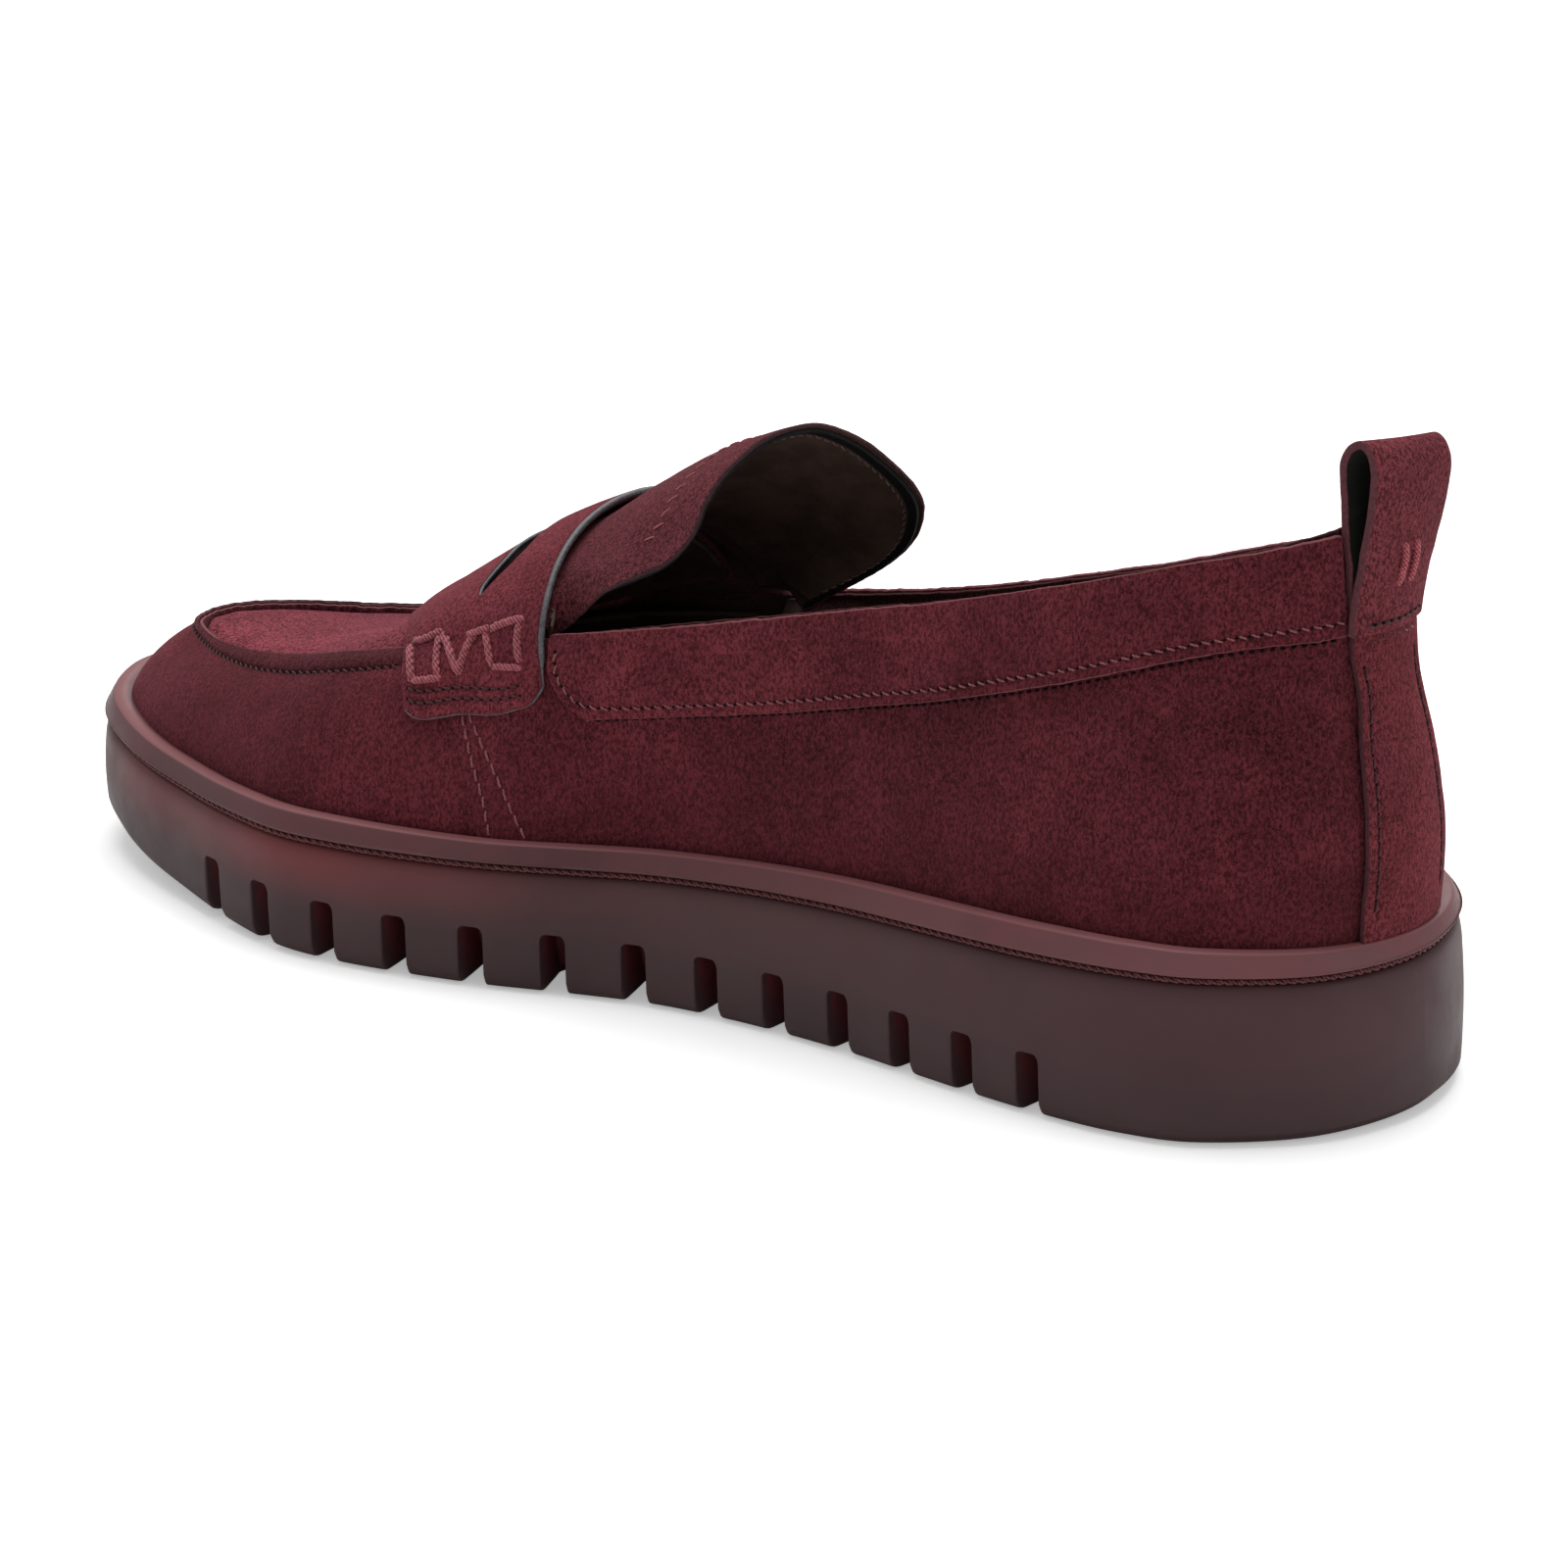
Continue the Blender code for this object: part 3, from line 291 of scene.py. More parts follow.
def wall_face(station, rise):
    """Face of the quarter and vamp: rise = 0 at the feather line, 1 at the top edge."""
    foot = edge(station, FEATHER_INSET)
    foot = to_xyz(foot, z_feather(foot[..., 0]))
    head = top_edge(station)
    head = to_xyz(head, head[..., 2])
    climb = (head - foot)[..., 2:3]
    lean = (foot - head) * (1, 1, 0)
    out = outward_xyz(station)
    distance = from_heel(station)[..., None]
    front = step((distance - 13.0) / 0.9)
    toe = step((distance - 19.3) / 0.8)
    heel = step((2.6 - distance) / 0.6)
    low = foot + UP * climb * (0.42 + 0.10 * front - 0.18 * toe) + out * (1.2 * heel)
    high = (head + lean * (0.40 + 0.20 * front - 0.22 * toe)
            - UP * climb * (0.34 - 0.26 * front + 0.06 * toe) - out * (3.4 * heel))
    rise = rise[..., None]
    rest = 1 - rise
    return (rest ** 3 * foot + 3 * rest * rest * rise * low
            + 3 * rest * rise * rise * high + rise ** 3 * head)


def wall(station, rise, out=0.0):
    """Point on the upper's side wall."""
    station, rise, out = spread(station, rise, out)
    normal = -face_normal(wall_face, station, np.clip(rise, 0.004, 0.996), .02, .003)
    return wall_face(station, rise) + out[..., None] * normal


def wall_full(station, rise, out):
    """The wall with the fuller curve of the heel that the finished leather takes."""
    rise = np.asarray(rise, float)
    full = 1.55 * np.exp(-((rise - .25) / .23) ** 2) - .25 * np.exp(-((rise - .63) / .10) ** 2)
    return wall(station, rise, out + full * np.exp(-(from_heel(station) / 1.7) ** 2))


def lining_wall(station, rise, out):
    """The wall with the flare of the lining towards the top edge."""
    part = np.clip((rise - .84) / .14, 0, 1)
    return wall(np.mod(station, STATIONS), rise, out + 2.55 * part ** 2 * (3 - 2 * part))


def top_face(station, across):
    """Face of the forefoot and instep, across = -1 medial to 1 lateral."""
    medial = top_edge(station)
    lateral = top_edge(STATIONS - station)
    part = ((across + 1) / 2)[..., None]
    points = medial * (1 - part) + lateral * part
    middle = (medial + lateral) / 2
    crown = np.maximum(z_ridge(middle[..., 0]) - middle[..., 2], 0)
    z = (points[..., 2] + crown * np.clip(1 - across * across, 0, 1) ** 0.70
         - np.abs(across) ** 8 * step((station - 14.6) / 0.3))
    return to_xyz(points, z)


def top(station, across, out=0.0):
    station, across, out = spread(station, across, out)
    normal = face_normal(top_face, station, np.clip(across, -0.985, 0.985), .03, .01)
    normal = normal * np.sign(normal[..., 2:3] + 1e-9)
    return top_face(station, across) + out[..., None] * normal


def lifted(face, u, v, out, keep_u, keep_v, step_u, step_v, centre):
    """Face moved out along normals that point away from centre, taken clear of its borders."""
    inner_u, inner_v = np.clip(u, -keep_u, keep_u), np.clip(v, keep_v, 1 - keep_v)
    normal = face_normal(face, inner_u, inner_v, step_u, step_v)
    away = face(inner_u, inner_v) - centre
    normal = normal * np.sign((normal * away).sum(-1, keepdims=True))
    return face(u, v) + out[..., None] * normal


# ---- strap, slit and tongue surfaces -------------------------------------------------------------
WING = 0.36     # share of the strap's length that lies on each side wall


def strap_front(across):
    return 15.1 - 1.1 * np.abs(across) ** 2.2


def strap_rear(across):
    return 12.3 - 0.36 * np.abs(across) ** 3


def strap_face(u, v):
    height = np.clip((1 - np.abs(u)) / WING, 0, 1)          # 0 at the foot, 1 at the top edge
    head = strap_front(1.0) * (1 - v) + strap_rear(1.0) * v
    station = strap_foot_station(v) * (1 - height) + head * height
    rise = strap_foot_rise(v) * (1 - height) + height
    side = wall_face(np.where(u < 0, station, STATIONS - station), rise)
    across = np.clip(u / (1 - WING), -1, 1)
    across = np.sin(across * np.pi / 2) * 0.5 + across * 0.5
    over = top_face(strap_front(across) * (1 - v) + strap_rear(across) * v, across)
    return np.where((np.abs(u) > 1 - WING)[..., None], side, over)


def strap(u, v, out=0.0):
    """Penny strap: u = -1 medial foot to 1 lateral foot, v = 0 front edge to 1 rear edge."""
    u, v, out = spread(u, v, out)
    lift = STRAP_RISE * step((1 - WING * .8 - np.abs(u)) / .06)
    return lifted(strap_face, u, v, out + lift, keep_u=.985, keep_v=.03, step_u=.015,
                  step_v=.03, centre=np.array([HALF - 170.0, 0, 40.0]))


def rear_edge(u):
    """The rear edge swings back a little as it climbs over the instep."""
    return 1 + .032 * step((.66 - np.abs(u)) / .05)


def strap_swung(u, v, out):
    return strap(u, np.asarray(v) * rear_edge(u), out)


SLIT_END = .505            # u at the ends of the slit


def slit_lens(u, v, out):
    half = .066 * (1 - .82 * np.abs(u / SLIT_END) ** 7)
    return strap(u, slit_mid(np.abs(u)) + v * half, out)


def slit_back(u, v, out):
    return strap(u, slit_mid(np.minimum(np.abs(u), SLIT_END)) + v * .095, out)


def tongue_flat(u, v):
    across = np.sin(u * np.pi / 2) * 0.55 + u * 0.45
    station = strap_rear(across)
    start = top_face(station + .34, across * .99) + (0, 0, .1)
    leave = top_face(station - .04, across * .985) + (0, 0, .30)
    free = curve_at(FREE_EDGE, (u + 1) / 2 * (len(FREE_EDGE) - 1))
    free = to_xyz(free, free[..., 2])
    part = ((v - TONGUE_LEAVE) / (1 - TONGUE_LEAVE))[..., None]
    belly = UP * (4 * part * (1 - part) * (.5 + 1.5 * np.exp(-(u / .5) ** 2))[..., None])
    return np.where(part < 0, start + (leave - start) * (v / TONGUE_LEAVE)[..., None],
                    leave * (1 - part) + free * part + belly)


def tongue_face(u, v):
    """The flat tongue averaged over a short span of v, to soften the bend at the strap."""
    reach = .055 * np.clip(np.minimum(v, 1 - v) / .06, 0, 1)
    return sum(tongue_flat(u, v + reach * j) for j in (-1, -.5, 0, .5, 1)) / 5


def tongue(u, v, out=0.0):
    """Tongue: u = -1 medial to 1 lateral, v = 0 at the root under the strap, 1 at the free edge."""
    u, v, out = spread(u, v, out)
    return lifted(tongue_face, u, v, out, keep_u=.97, keep_v=.04, step_u=.025, step_v=.035,
                  centre=np.array([HALF - 150.0, 0, 60.0]))


# ---- pull tab surface ----------------------------------------------------------------------------
HEEL_LINE = wall(np.zeros(201), np.linspace(0, 1, 201))


def heel_x(z):
    """How far back the quarter's face lies on the centre line."""
    return float(np.interp(z, HEEL_LINE[:, 2], HEEL_LINE[:, 0]))


def tab_path():
    """Middle of the strip as (x, z): up the inner ply, over the loop, down the outer ply."""
    off = .45 + TAB_T / 2
    root = TAB_ROOT_Z + .4
    inner = [(heel_x(z) + off, z) for z in (root, 92.0, 97.5, 103.0)]
    x = inner[-1][0]
    inner += [(x + .2, 107.5), (x + .2, TAB_BEND_Z)]
    outer = [(x + .2 + TAB_OPEN, TAB_BEND_Z), (x + TAB_OPEN - .3, 106.0),
             (x + TAB_OPEN - 1.2, 100.5), (inner[1][0] + 3.0, 94.0),
             (inner[0][0] + TAB_T + .3, root)]
    radius = TAB_OPEN / 2
    high = TAB_TOP_Z - TAB_T / 2 - TAB_BEND_Z
    loop = [(x + .2 + radius - radius * np.cos(angle), TAB_BEND_Z + high * np.sin(angle))
            for angle in np.radians([25, 55, 90, 125, 155])]
    return np.array(inner + loop + outer)


TAB_PATH = tab_path()


def tab_bent(u, v, out):
    """The strip bends round the heel at its root and is nearly flat at the top of the loop."""
    last = len(TAB_PATH) - 1
    point = curve_at(TAB_PATH, u * last)
    ahead = unit(curve_at(TAB_PATH, np.minimum(u * last + .05, last))
                 - curve_at(TAB_PATH, np.maximum(u * last - .05, 0)))
    normal = np.stack([-ahead[..., 1], ahead[..., 0]], -1)
    point = point + normal * np.asarray(out)[..., None]
    bend = 1.7 - 1.2 * np.clip((point[..., 1] - 100.0) / 18.0, 0, 1)
    return np.stack([point[..., 0] - bend * v * v, v * TAB_W / 2, point[..., 1]], -1)


def tab(u, v, out):
    """The loop leans and twists: its medial edge stands higher and further forward."""
    points = tab_bent(u, v, out)
    z = points[..., 2].copy()
    outer_lean = .80 * (np.clip((z - 88.5) / 11, 0, 1) ** .9 * .70
                        + .30 * np.clip((z - 99) / 18, 0, 1))
    inner_lean = np.clip((z - 98) / 16, 0, 1) ** .8 * .95
    part = np.clip((u - .40) / .16, 0, 1)
    part = part * part * (3 - 2 * part)                # 0 on the inner ply, 1 on the outer
    lean = inner_lean * (1 - part) + outer_lean * part
    points[..., 0] += lean * (-1.75 + 1.35 * v)
    points[..., 2] += np.clip((z - 96) / 20, 0, 1) * (.1 - 1.3 * v)
    # the outer ply's root sits a little to the medial side and reaches down on to the backstay
    root = part * np.clip((97.5 - z) / 8, 0, 1)
    old_y = points[..., 1].copy()
    points[..., 1] -= 1.5 * root
    points[..., 0] -= ((points[..., 1] ** 2 - old_y ** 2) / 50 - .25 * root
                       + .55 * root * np.clip(v, 0, 1))
    points[..., 2] -= 1.3 * part * np.clip((94 - z) / 5.5, 0, 1)
    return points


# ---- mesh building -------------------------------------------------------------------------------
def build(name, points, quads, polys, materials, attrs=None, sharp=None):
    """Closed mesh object from millimetre points, (n, 4) quads and a list of other polygons."""
    points = np.asarray(points, float).reshape(-1, 3)
    quads = np.asarray(quads, int).reshape(-1, 4)
    first, second, third, fourth = (points[quads[:, j]] for j in range(4))
    volume = (np.einsum("ij,ij->i", first, np.cross(second, third))
              + np.einsum("ij,ij->i", first, np.cross(third, fourth))).sum()
    for poly in polys:
        corners = points[list(poly)]
        for j in range(1, len(poly) - 1):
            volume += np.dot(corners[0], np.cross(corners[j], corners[j + 1]))
    if volume < 0:
        quads = quads[:, ::-1]
        polys = [tuple(poly)[::-1] for poly in polys]
    sizes = np.concatenate([np.full(len(quads), 4), [len(p) for p in polys]]).astype(np.int32)
    index = np.concatenate([quads.ravel()] + [np.array(p) for p in polys]).astype(np.int32)
    mesh = bpy.data.meshes.new(name)
    mesh.vertices.add(len(points))
    mesh.vertices.foreach_set("co", (points * MM).astype(np.float32).ravel())
    mesh.loops.add(len(index))
    mesh.loops.foreach_set("vertex_index", index)
    mesh.polygons.add(len(sizes))
    mesh.polygons.foreach_set("loop_start", (np.cumsum(sizes) - sizes).astype(np.int32))
    mesh.update(calc_edges=True)
    mesh.validate()
    mesh.shade_smooth()
    if sharp:
        mesh.set_sharp_from_angle(angle=math.radians(sharp))
    for key, values in (attrs or {}).items():
        layer = mesh.attributes.new(key, "FLOAT", "POINT")
        layer.data.foreach_set("value", np.asarray(values, np.float32).ravel())
    ob = bpy.data.objects.new(name, mesh)
    bpy.context.scene.collection.objects.link(ob)
    for key in materials:
        mesh.materials.append(MAT[key])
    return ob


def quad_grid(count_u, count_v, wrap_u=False, wrap_v=False, start=0):
    i = np.arange(count_u if wrap_u else count_u - 1)
    j = np.arange(count_v if wrap_v else count_v - 1)
    i, j = (grid.ravel() for grid in np.meshgrid(i, j, indexing="ij"))
    next_i, next_j = (i + 1) % count_u, (j + 1) % count_v
    return start + np.stack([i * count_v + j, next_i * count_v + j,
                             next_i * count_v + next_j, i * count_v + next_j], 1)


def smooth_noise(points, size, seed):
    """Smooth value noise, -1..1, with features of the given size in mm."""
    cells = np.asarray(points, float) / size
    corner = np.floor(cells)
    part = cells - corner
    part = part * part * (3 - 2 * part)
    total = 0
    for x in (0, 1):
        for y in (0, 1):
            for z in (0, 1):
                value = ((corner[..., 0] + x) * 127.1 + (corner[..., 1] + y) * 311.7
                         + (corner[..., 2] + z) * 74.7 + seed * 19.19)
                value = np.sin(value) * 4375.85
                value = value - np.floor(value)
                weight = ((part[..., 0] if x else 1 - part[..., 0])
                          * (part[..., 1] if y else 1 - part[..., 1])
                          * (part[..., 2] if z else 1 - part[..., 2]))
                total = total + value * weight
    return total * 2 - 1


def uneven(points, *waves):
    """Sum of noises, each given as (amount, size, seed)."""
    return sum(amount * smooth_noise(points, size, seed) for amount, size, seed in waves)


def near_line(points, line):
    """Distance in mm from each point to a polyline's points."""
    flat = points.reshape(-1, 3)
    out = np.empty(len(flat))
    for i in range(0, len(flat), 4000):
        chunk = flat[i:i + 4000]
        out[i:i + 4000] = np.sqrt(((chunk[:, None] - line[None]) ** 2).sum(-1).min(1))
    return out.reshape(points.shape[:-1])


def creases(points, rows, depth, width):
    """Shallow dents where rows of stitches pull the leather down."""
    dent = np.zeros(points.shape[:-1])
    for line in rows:
        dent -= depth * np.exp(-(near_line(points, line) / width) ** 2)
    return dent


def skin(name, surface, u_steps, v_steps, out, thick, face, back=None, bulge=.45, square=.6,
         rows=(), relief=None, fray=.18, crease=(.2, .75)):
    """Closed leather panel: two faces thick mm apart and a rounded, slightly ragged cut edge.

    face and back are material keys, rows are stitch lines pressed in by crease (depth, width).
    """
    grid_u, grid_v = np.meshgrid(np.asarray(u_steps, float), np.asarray(v_steps, float),
                                 indexing="ij")
    base = surface(grid_u, grid_v, np.full(grid_u.shape, float(out)))
    dent = creases(base, rows, *crease)
    if relief is not None:
        dent = dent + relief(grid_u, grid_v, base)
    outer = surface(grid_u, grid_v, out + dent)
    inner = surface(grid_u, grid_v, out - thick + dent * .8)

    # the border, once round
    count_u, count_v = grid_u.shape
    loop = [(i, 0) for i in range(count_u)] + [(count_u - 1, j) for j in range(1, count_v)]
    loop += [(i, count_v - 1) for i in range(count_u - 2, -1, -1)]
    loop += [(0, j) for j in range(count_v - 2, 0, -1)]
    i, j = np.array(loop).T
    outer_rim, inner_rim = outer[i, j], inner[i, j]
    inside = outer[np.clip(i, 1, count_u - 2), np.clip(j, 1, count_v - 2)]
    normal = unit(outer_rim - inner_rim)
    sideways = square_to(unit(outer_rim - inside), normal)
    middle = (outer_rim + inner_rim) / 2
    half = np.linalg.norm(outer_rim - inner_rim, axis=-1)[:, None] / 2
    ragged = bulge * (1 + uneven(middle, (fray, .9, 3), (fray * .8, 2.7, 4)))[:, None]
    rings = []
    for angle in (18, 38, 62, 90, 118, 142, 162):
        cos, sin = math.cos(math.radians(angle)), math.sin(math.radians(angle))
        rings.append(middle + normal * half * math.copysign(abs(cos) ** square, cos)
                     + sideways * ragged * abs(sin) ** square)

    size, around, count = count_u * count_v, len(loop), len(rings)
    outer_quads = quad_grid(count_u, count_v)
    inner_quads = quad_grid(count_u, count_v, start=size)[:, ::-1]
    rim_ids = i * count_v + j
    chain = [rim_ids] + [2 * size + n * around + np.arange(around) for n in range(count)]
    chain.append(size + rim_ids)
    border = [np.stack([one, two, np.roll(two, -1), np.roll(one, -1)], 1)
              for one, two in zip(chain[:-1], chain[1:])]
    quads = np.concatenate([outer_quads, inner_quads] + border)
    cut = [np.full(around, .35 if n in (0, count - 1) else 1.0) for n in range(count)]
    attrs = {"cut": np.concatenate([np.zeros(2 * size)] + cut),
             "back": np.concatenate([np.zeros(size), np.ones(size), np.zeros(count * around)])}
    points = np.concatenate([outer.reshape(-1, 3), inner.reshape(-1, 3)] + rings)
    ob = build(name, points, quads, (), (face, back) if back else (face,), attrs)
    if back:
        ids = np.zeros(len(quads), np.int32)
        ids[len(outer_quads):len(outer_quads) + len(inner_quads)] = 1
        ob.data.polygons.foreach_set("material_index", ids)
    return ob


def sweep(name, sections, material, attrs=None, ring=True, sharp=None):
    """Closed body from a (path, section, 3) array; an open path gets capped ends."""
    along, around = sections.shape[:2]
    caps = []
    if not ring:
        caps = [tuple(range(around))[::-1],
                tuple((along - 1) * around + j for j in range(around))]
    return build(name, sections, quad_grid(along, around, ring, True), caps, (material,), attrs,
                 sharp)


def arc(points):
    """Length along a polyline at each of its points."""
    return np.concatenate([[0], np.cumsum(np.linalg.norm(np.diff(points, axis=0), axis=1))])


def resample(line, where):
    """The line's points and normals at the given lengths along it."""
    lengths = arc(line[0])
    points, normals = (np.stack([np.interp(where, lengths, part[:, j]) for j in range(3)], -1)
                       for part in line)
    return points, unit(normals)


def tubes(name, runs, material, sides=8):
    """Round capped tubes; each run is (points, normals, radius), radius one value or many."""
    angles = np.linspace(0, 2 * np.pi, sides, endpoint=False)
    cos, sin = np.cos(angles)[None, :, None], np.sin(angles)[None, :, None]
    points, quads, caps, start = [], [], [], 0
    for line, normals, radius in runs:
        count = len(line)
        radius = np.broadcast_to(np.asarray(radius, float), (count,))[:, None, None]
        ahead = unit(np.gradient(line, axis=0))
        outer = square_to(normals, ahead)
        side = np.cross(ahead, outer)
        rings = line[:, None] + radius * (cos * outer[:, None] + sin * side[:, None])
        points.append(rings.reshape(-1, 3))
        quads.append(quad_grid(count, sides, False, True, start))
        caps.append(tuple(start + j for j in range(sides))[::-1])
        caps.append(tuple(start + (count - 1) * sides + j for j in range(sides)))
        start += count * sides
    quads = np.concatenate(quads)
    tube = points[0]
    normal = np.cross(tube[sides] - tube[0], tube[1] - tube[0])
    if np.dot(normal, tube[0] - tube[:sides].mean(0)) < 0:
        quads = quads[:, ::-1]
        caps = [cap[::-1] for cap in caps]
    return build(name, np.concatenate(points), quads, caps, (material,))


def stitches(name, line, pitch, length, radius, thread, slant=.16, margin=0.0, jitter=.06):
    """A row of separate stitches that dive into the leather at both ends."""
    count = max(1, int((arc(line[0])[-1] - margin - margin) / pitch))
    part = np.linspace(0, 1, 9)
    ends = np.abs(2 * part - 1)
    lift = radius * .75
    height = lift - (lift + radius * 1.25) * ends ** 5
    runs = []
    for i in range(count):
        wobble = math.sin(i * 12.9898 + 1.3) * jitter
        start = margin + i * pitch + (pitch - length) / 2
        points, normals = resample(line, start + part * length * (1 + wobble * .5))
        side = np.cross(unit(np.gradient(points, axis=0)), normals)
        points = (points + normals * height[:, None]
                  + side * ((2 * part - 1) * slant + wobble * .8)[:, None])
        runs.append((points, normals, radius * (1 - .2 * ends ** 4)))
    return tubes(name, runs, thread)


def cord(name, line, radius, material, plies, twist, spacing=.22, sides=8, taper=True):
    """Thick thread of plies that turn once per twist mm along a path."""
    where = np.arange(0, arc(line[0])[-1], spacing)
    points, normals = resample(line, where)
    ahead = unit(np.gradient(points, axis=0))
    normals = square_to(normals, ahead)
    side = np.cross(ahead, normals)
    ends = np.minimum(where, where[-1] - where)
    thin = np.clip(.45 + ends / 1.2, 0, 1) if taper else np.ones_like(where)
    runs = []
    for j in range(plies):
        angle = 2 * np.pi * (where / twist + j / plies)
        turn = np.cos(angle)[:, None] * normals + np.sin(angle)[:, None] * side
        runs.append((points + turn * (radius * .46 * thin)[:, None], normals,
                     radius * .58 * thin))
    return tubes(name, runs, material, sides)


def place(ob, slot, *replaced, body="shoe"):
    """Fix the piece to a body, in the place of the CAD pieces named."""
    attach(ob, body)
    if replaced:
        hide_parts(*replaced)


def sew(name, line, pitch, length, radius, thread, *replaced, **shape):
    place(stitches(name, line, pitch, length, radius, thread, **shape), "thread", *replaced)


def prick(name, line, pitch, radius=.27, margin=0.0, depth=.10, size=.34):
    """Near-black beads between the stitches of a row: painted shade of the needle holes."""
    total = arc(line[0])[-1]
    count = max(1, int((total - margin - margin) / pitch)) + 1
    part = np.linspace(-1, 1, 5)
    runs = []
    for i in range(count):
        where = np.clip(margin + i * pitch + part * size, 0, total)
        if where[-1] - where[0] < size * 1.5:
            continue
        points, normals = resample(line, where)
        runs.append((points + normals * (-depth), normals,
                     radius * np.sqrt(np.clip(1.02 - part * part, .02, 1))))
    place(tubes(name, runs, "hole_shade", sides=7), "thread")


# ---- materials -----------------------------------------------------------------------------------
class Shader:
    """A node material under construction; positions and sizes are in object space."""

    def __init__(self, name):
        self.material = bpy.data.materials.new(name)
        self.material.use_nodes = True
        self.tree = self.material.node_tree
        self.principled = self.tree.nodes["Principled BSDF"]
        self.position = self.tree.nodes.new("ShaderNodeTexCoord").outputs["Object"]

    def put(self, socket, value):
        if isinstance(value, bpy.types.NodeSocket):
            self.tree.links.new(value, socket)
        else:
            socket.default_value = value

    def node(self, kind, inputs=None, **props):
        node = self.tree.nodes.new("ShaderNode" + kind)
        for key, value in props.items():
            setattr(node, key, value)
        for key, value in (inputs or {}).items():
            self.put(node.inputs[key], value)
        return node

    def noise(self, size, detail=3.0, rough=.55, distort=0.0, vector=None):
        """Noise with features of the given size in mm."""
        return self.node("TexNoise", {
            "Vector": vector or self.position, "Scale": 1000.0 / size, "Detail": detail,
            "Roughness": rough, "Distortion": distort}).outputs["Fac"]

    def cells(self, scale, feature="F1"):
        return self.node("TexVoronoi", {"Vector": self.position, "Scale": scale},
                         feature=feature).outputs["Distance"]

    def math(self, operation, left, right):
        return self.node("Math", {0: left, 1: right, 2: 0.0}, operation=operation).outputs[0]

    def add(self, left, right):
        return self.math("ADD", left, right)

    def mul(self, left, right):
        return self.math("MULTIPLY", left, right)

    def invert(self, value):
        return self.math("SUBTRACT", 1.0, value)

    def span(self, value, lo, hi, at_lo=0.0, at_hi=1.0):
        """Smooth change from at_lo to at_hi as value goes from lo to hi."""
        return self.node("MapRange", {
            "Value": value, "From Min": lo, "From Max": hi, "To Min": at_lo, "To Max": at_hi},
            interpolation_type="SMOOTHSTEP").outputs["Result"]

    def mix(self, factor, *colors):
        first, second = ((*c, 1) if isinstance(c, tuple) else c for c in colors)
        return self.node("Mix", {0: factor, 6: first, 7: second}, data_type="RGBA").outputs[2]

    def attr(self, name):
        return self.node("Attribute", attribute_name=name).outputs["Fac"]

    def bump(self, height, strength, depth, normal=None):
        """Bump of the given depth in mm, laid over normal."""
        inputs = {"Height": height, "Strength": strength, "Distance": depth * MM}
        if normal is not None:
            inputs["Normal"] = normal
        return self.node("Bump", inputs).outputs["Normal"]

    def scale(self, color, gain):
        return self.node("VectorMath", {0: color, "Scale": gain}, operation="SCALE").outputs[0]

    def xyz(self):
        return self.node("SeparateXYZ", {"Vector": self.position}).outputs

    def finish(self, color, rough, normal, inputs):
        """Connect the Principled node; inputs holds its remaining values by name."""
        inputs = {"Base Color": color, "Roughness": rough, "Normal": normal, **inputs}
        for key, value in inputs.items():
            self.put(self.principled.inputs[key], value)
        self.material.diffuse_color = (.2, .05, .06, 1)
        return self.material


def scaled(color, gain):
    return tuple(min(1.0, value * gain) for value in color)


def suede(name, color, sheen=.5, grain=1.0, blotch=1.0, cut=(.060, .030, .034), low=None,
          ramp=None):
    """Brushed nap: broad light and dark patches, short fibres and pale flecks.

    cut is the colour of cut edges, low the colour towards the welt, and ramp = (x_from, x_to,
    gain_from, gain_to) changes the brightness along the shoe.
    """
    mat = Shader(name)
    red, green, blue = color
    big = mat.noise(size=26, detail=2.0, rough=.5, distort=.6)
    mid = mat.noise(size=7.5, rough=.6, distort=.8)
    slanted = mat.node("Mapping", {"Vector": mat.position, "Scale": (1, 1, .62),
                                   "Rotation": (0, .5, 0)}).outputs["Vector"]
    nap = mat.noise(size=.54, rough=.72, distort=.3, vector=slanted)
    fine = mat.noise(size=.34, detail=2.0, rough=.8)
    patch = mat.span(mat.add(mat.mul(big, .6), mat.mul(mid, .4)), lo=.36, hi=.64)
    shade = mat.mix(patch, scaled(color, 1 - .24 * blotch), scaled(color, 1 + .24 * blotch))
    purple = mat.span(mat.noise(size=17, detail=1.5), lo=.5, hi=.72)
    shade = mat.mix(mat.mul(purple, .22), shade, (red * .92, green * 1.05, blue * 1.5))
    shade = mat.mix(mat.span(nap, lo=.36, hi=.64), mat.scale(shade, 1 - .60 * grain),
                    mat.scale(shade, 1 + .52 * grain))
    fleck = mat.span(fine, lo=.54, hi=.72)
    shade = mat.mix(mat.mul(fleck, .52 * grain), shade,
                    (red * 2.5 + .012, green * 2.9 + .010, blue * 2.7 + .011))
    if ramp is not None:
        x_from, x_to, gain_from, gain_to = ramp
        shade = mat.mix(mat.span(mat.xyz()[0], lo=x_from, hi=x_to),
                        mat.scale(shade, gain_from), mat.scale(shade, gain_to))
    if low is not None:
        shade = mat.mix(mat.span(mat.xyz()[2], lo=.030, hi=.055, at_lo=.35, at_hi=0.0),
                        shade, low)
    shade = mat.mix(mat.mul(mat.span(mat.attr("cut"), lo=.3, hi=.9), .75), shade, cut)
    height = mat.add(mat.mul(nap, .8), mat.mul(fine, .45))
    normal = mat.bump(height, strength=.9 * grain, depth=.30)
    normal = mat.bump(mid, strength=.35, depth=.6, normal=normal)
    return mat.finish(shade, .95, normal, {
        "Sheen Weight": sheen * .34, "Sheen Roughness": .45, "Sheen Tint": (1.0, .36, .42, 1),
        "Specular IOR Level": .03})


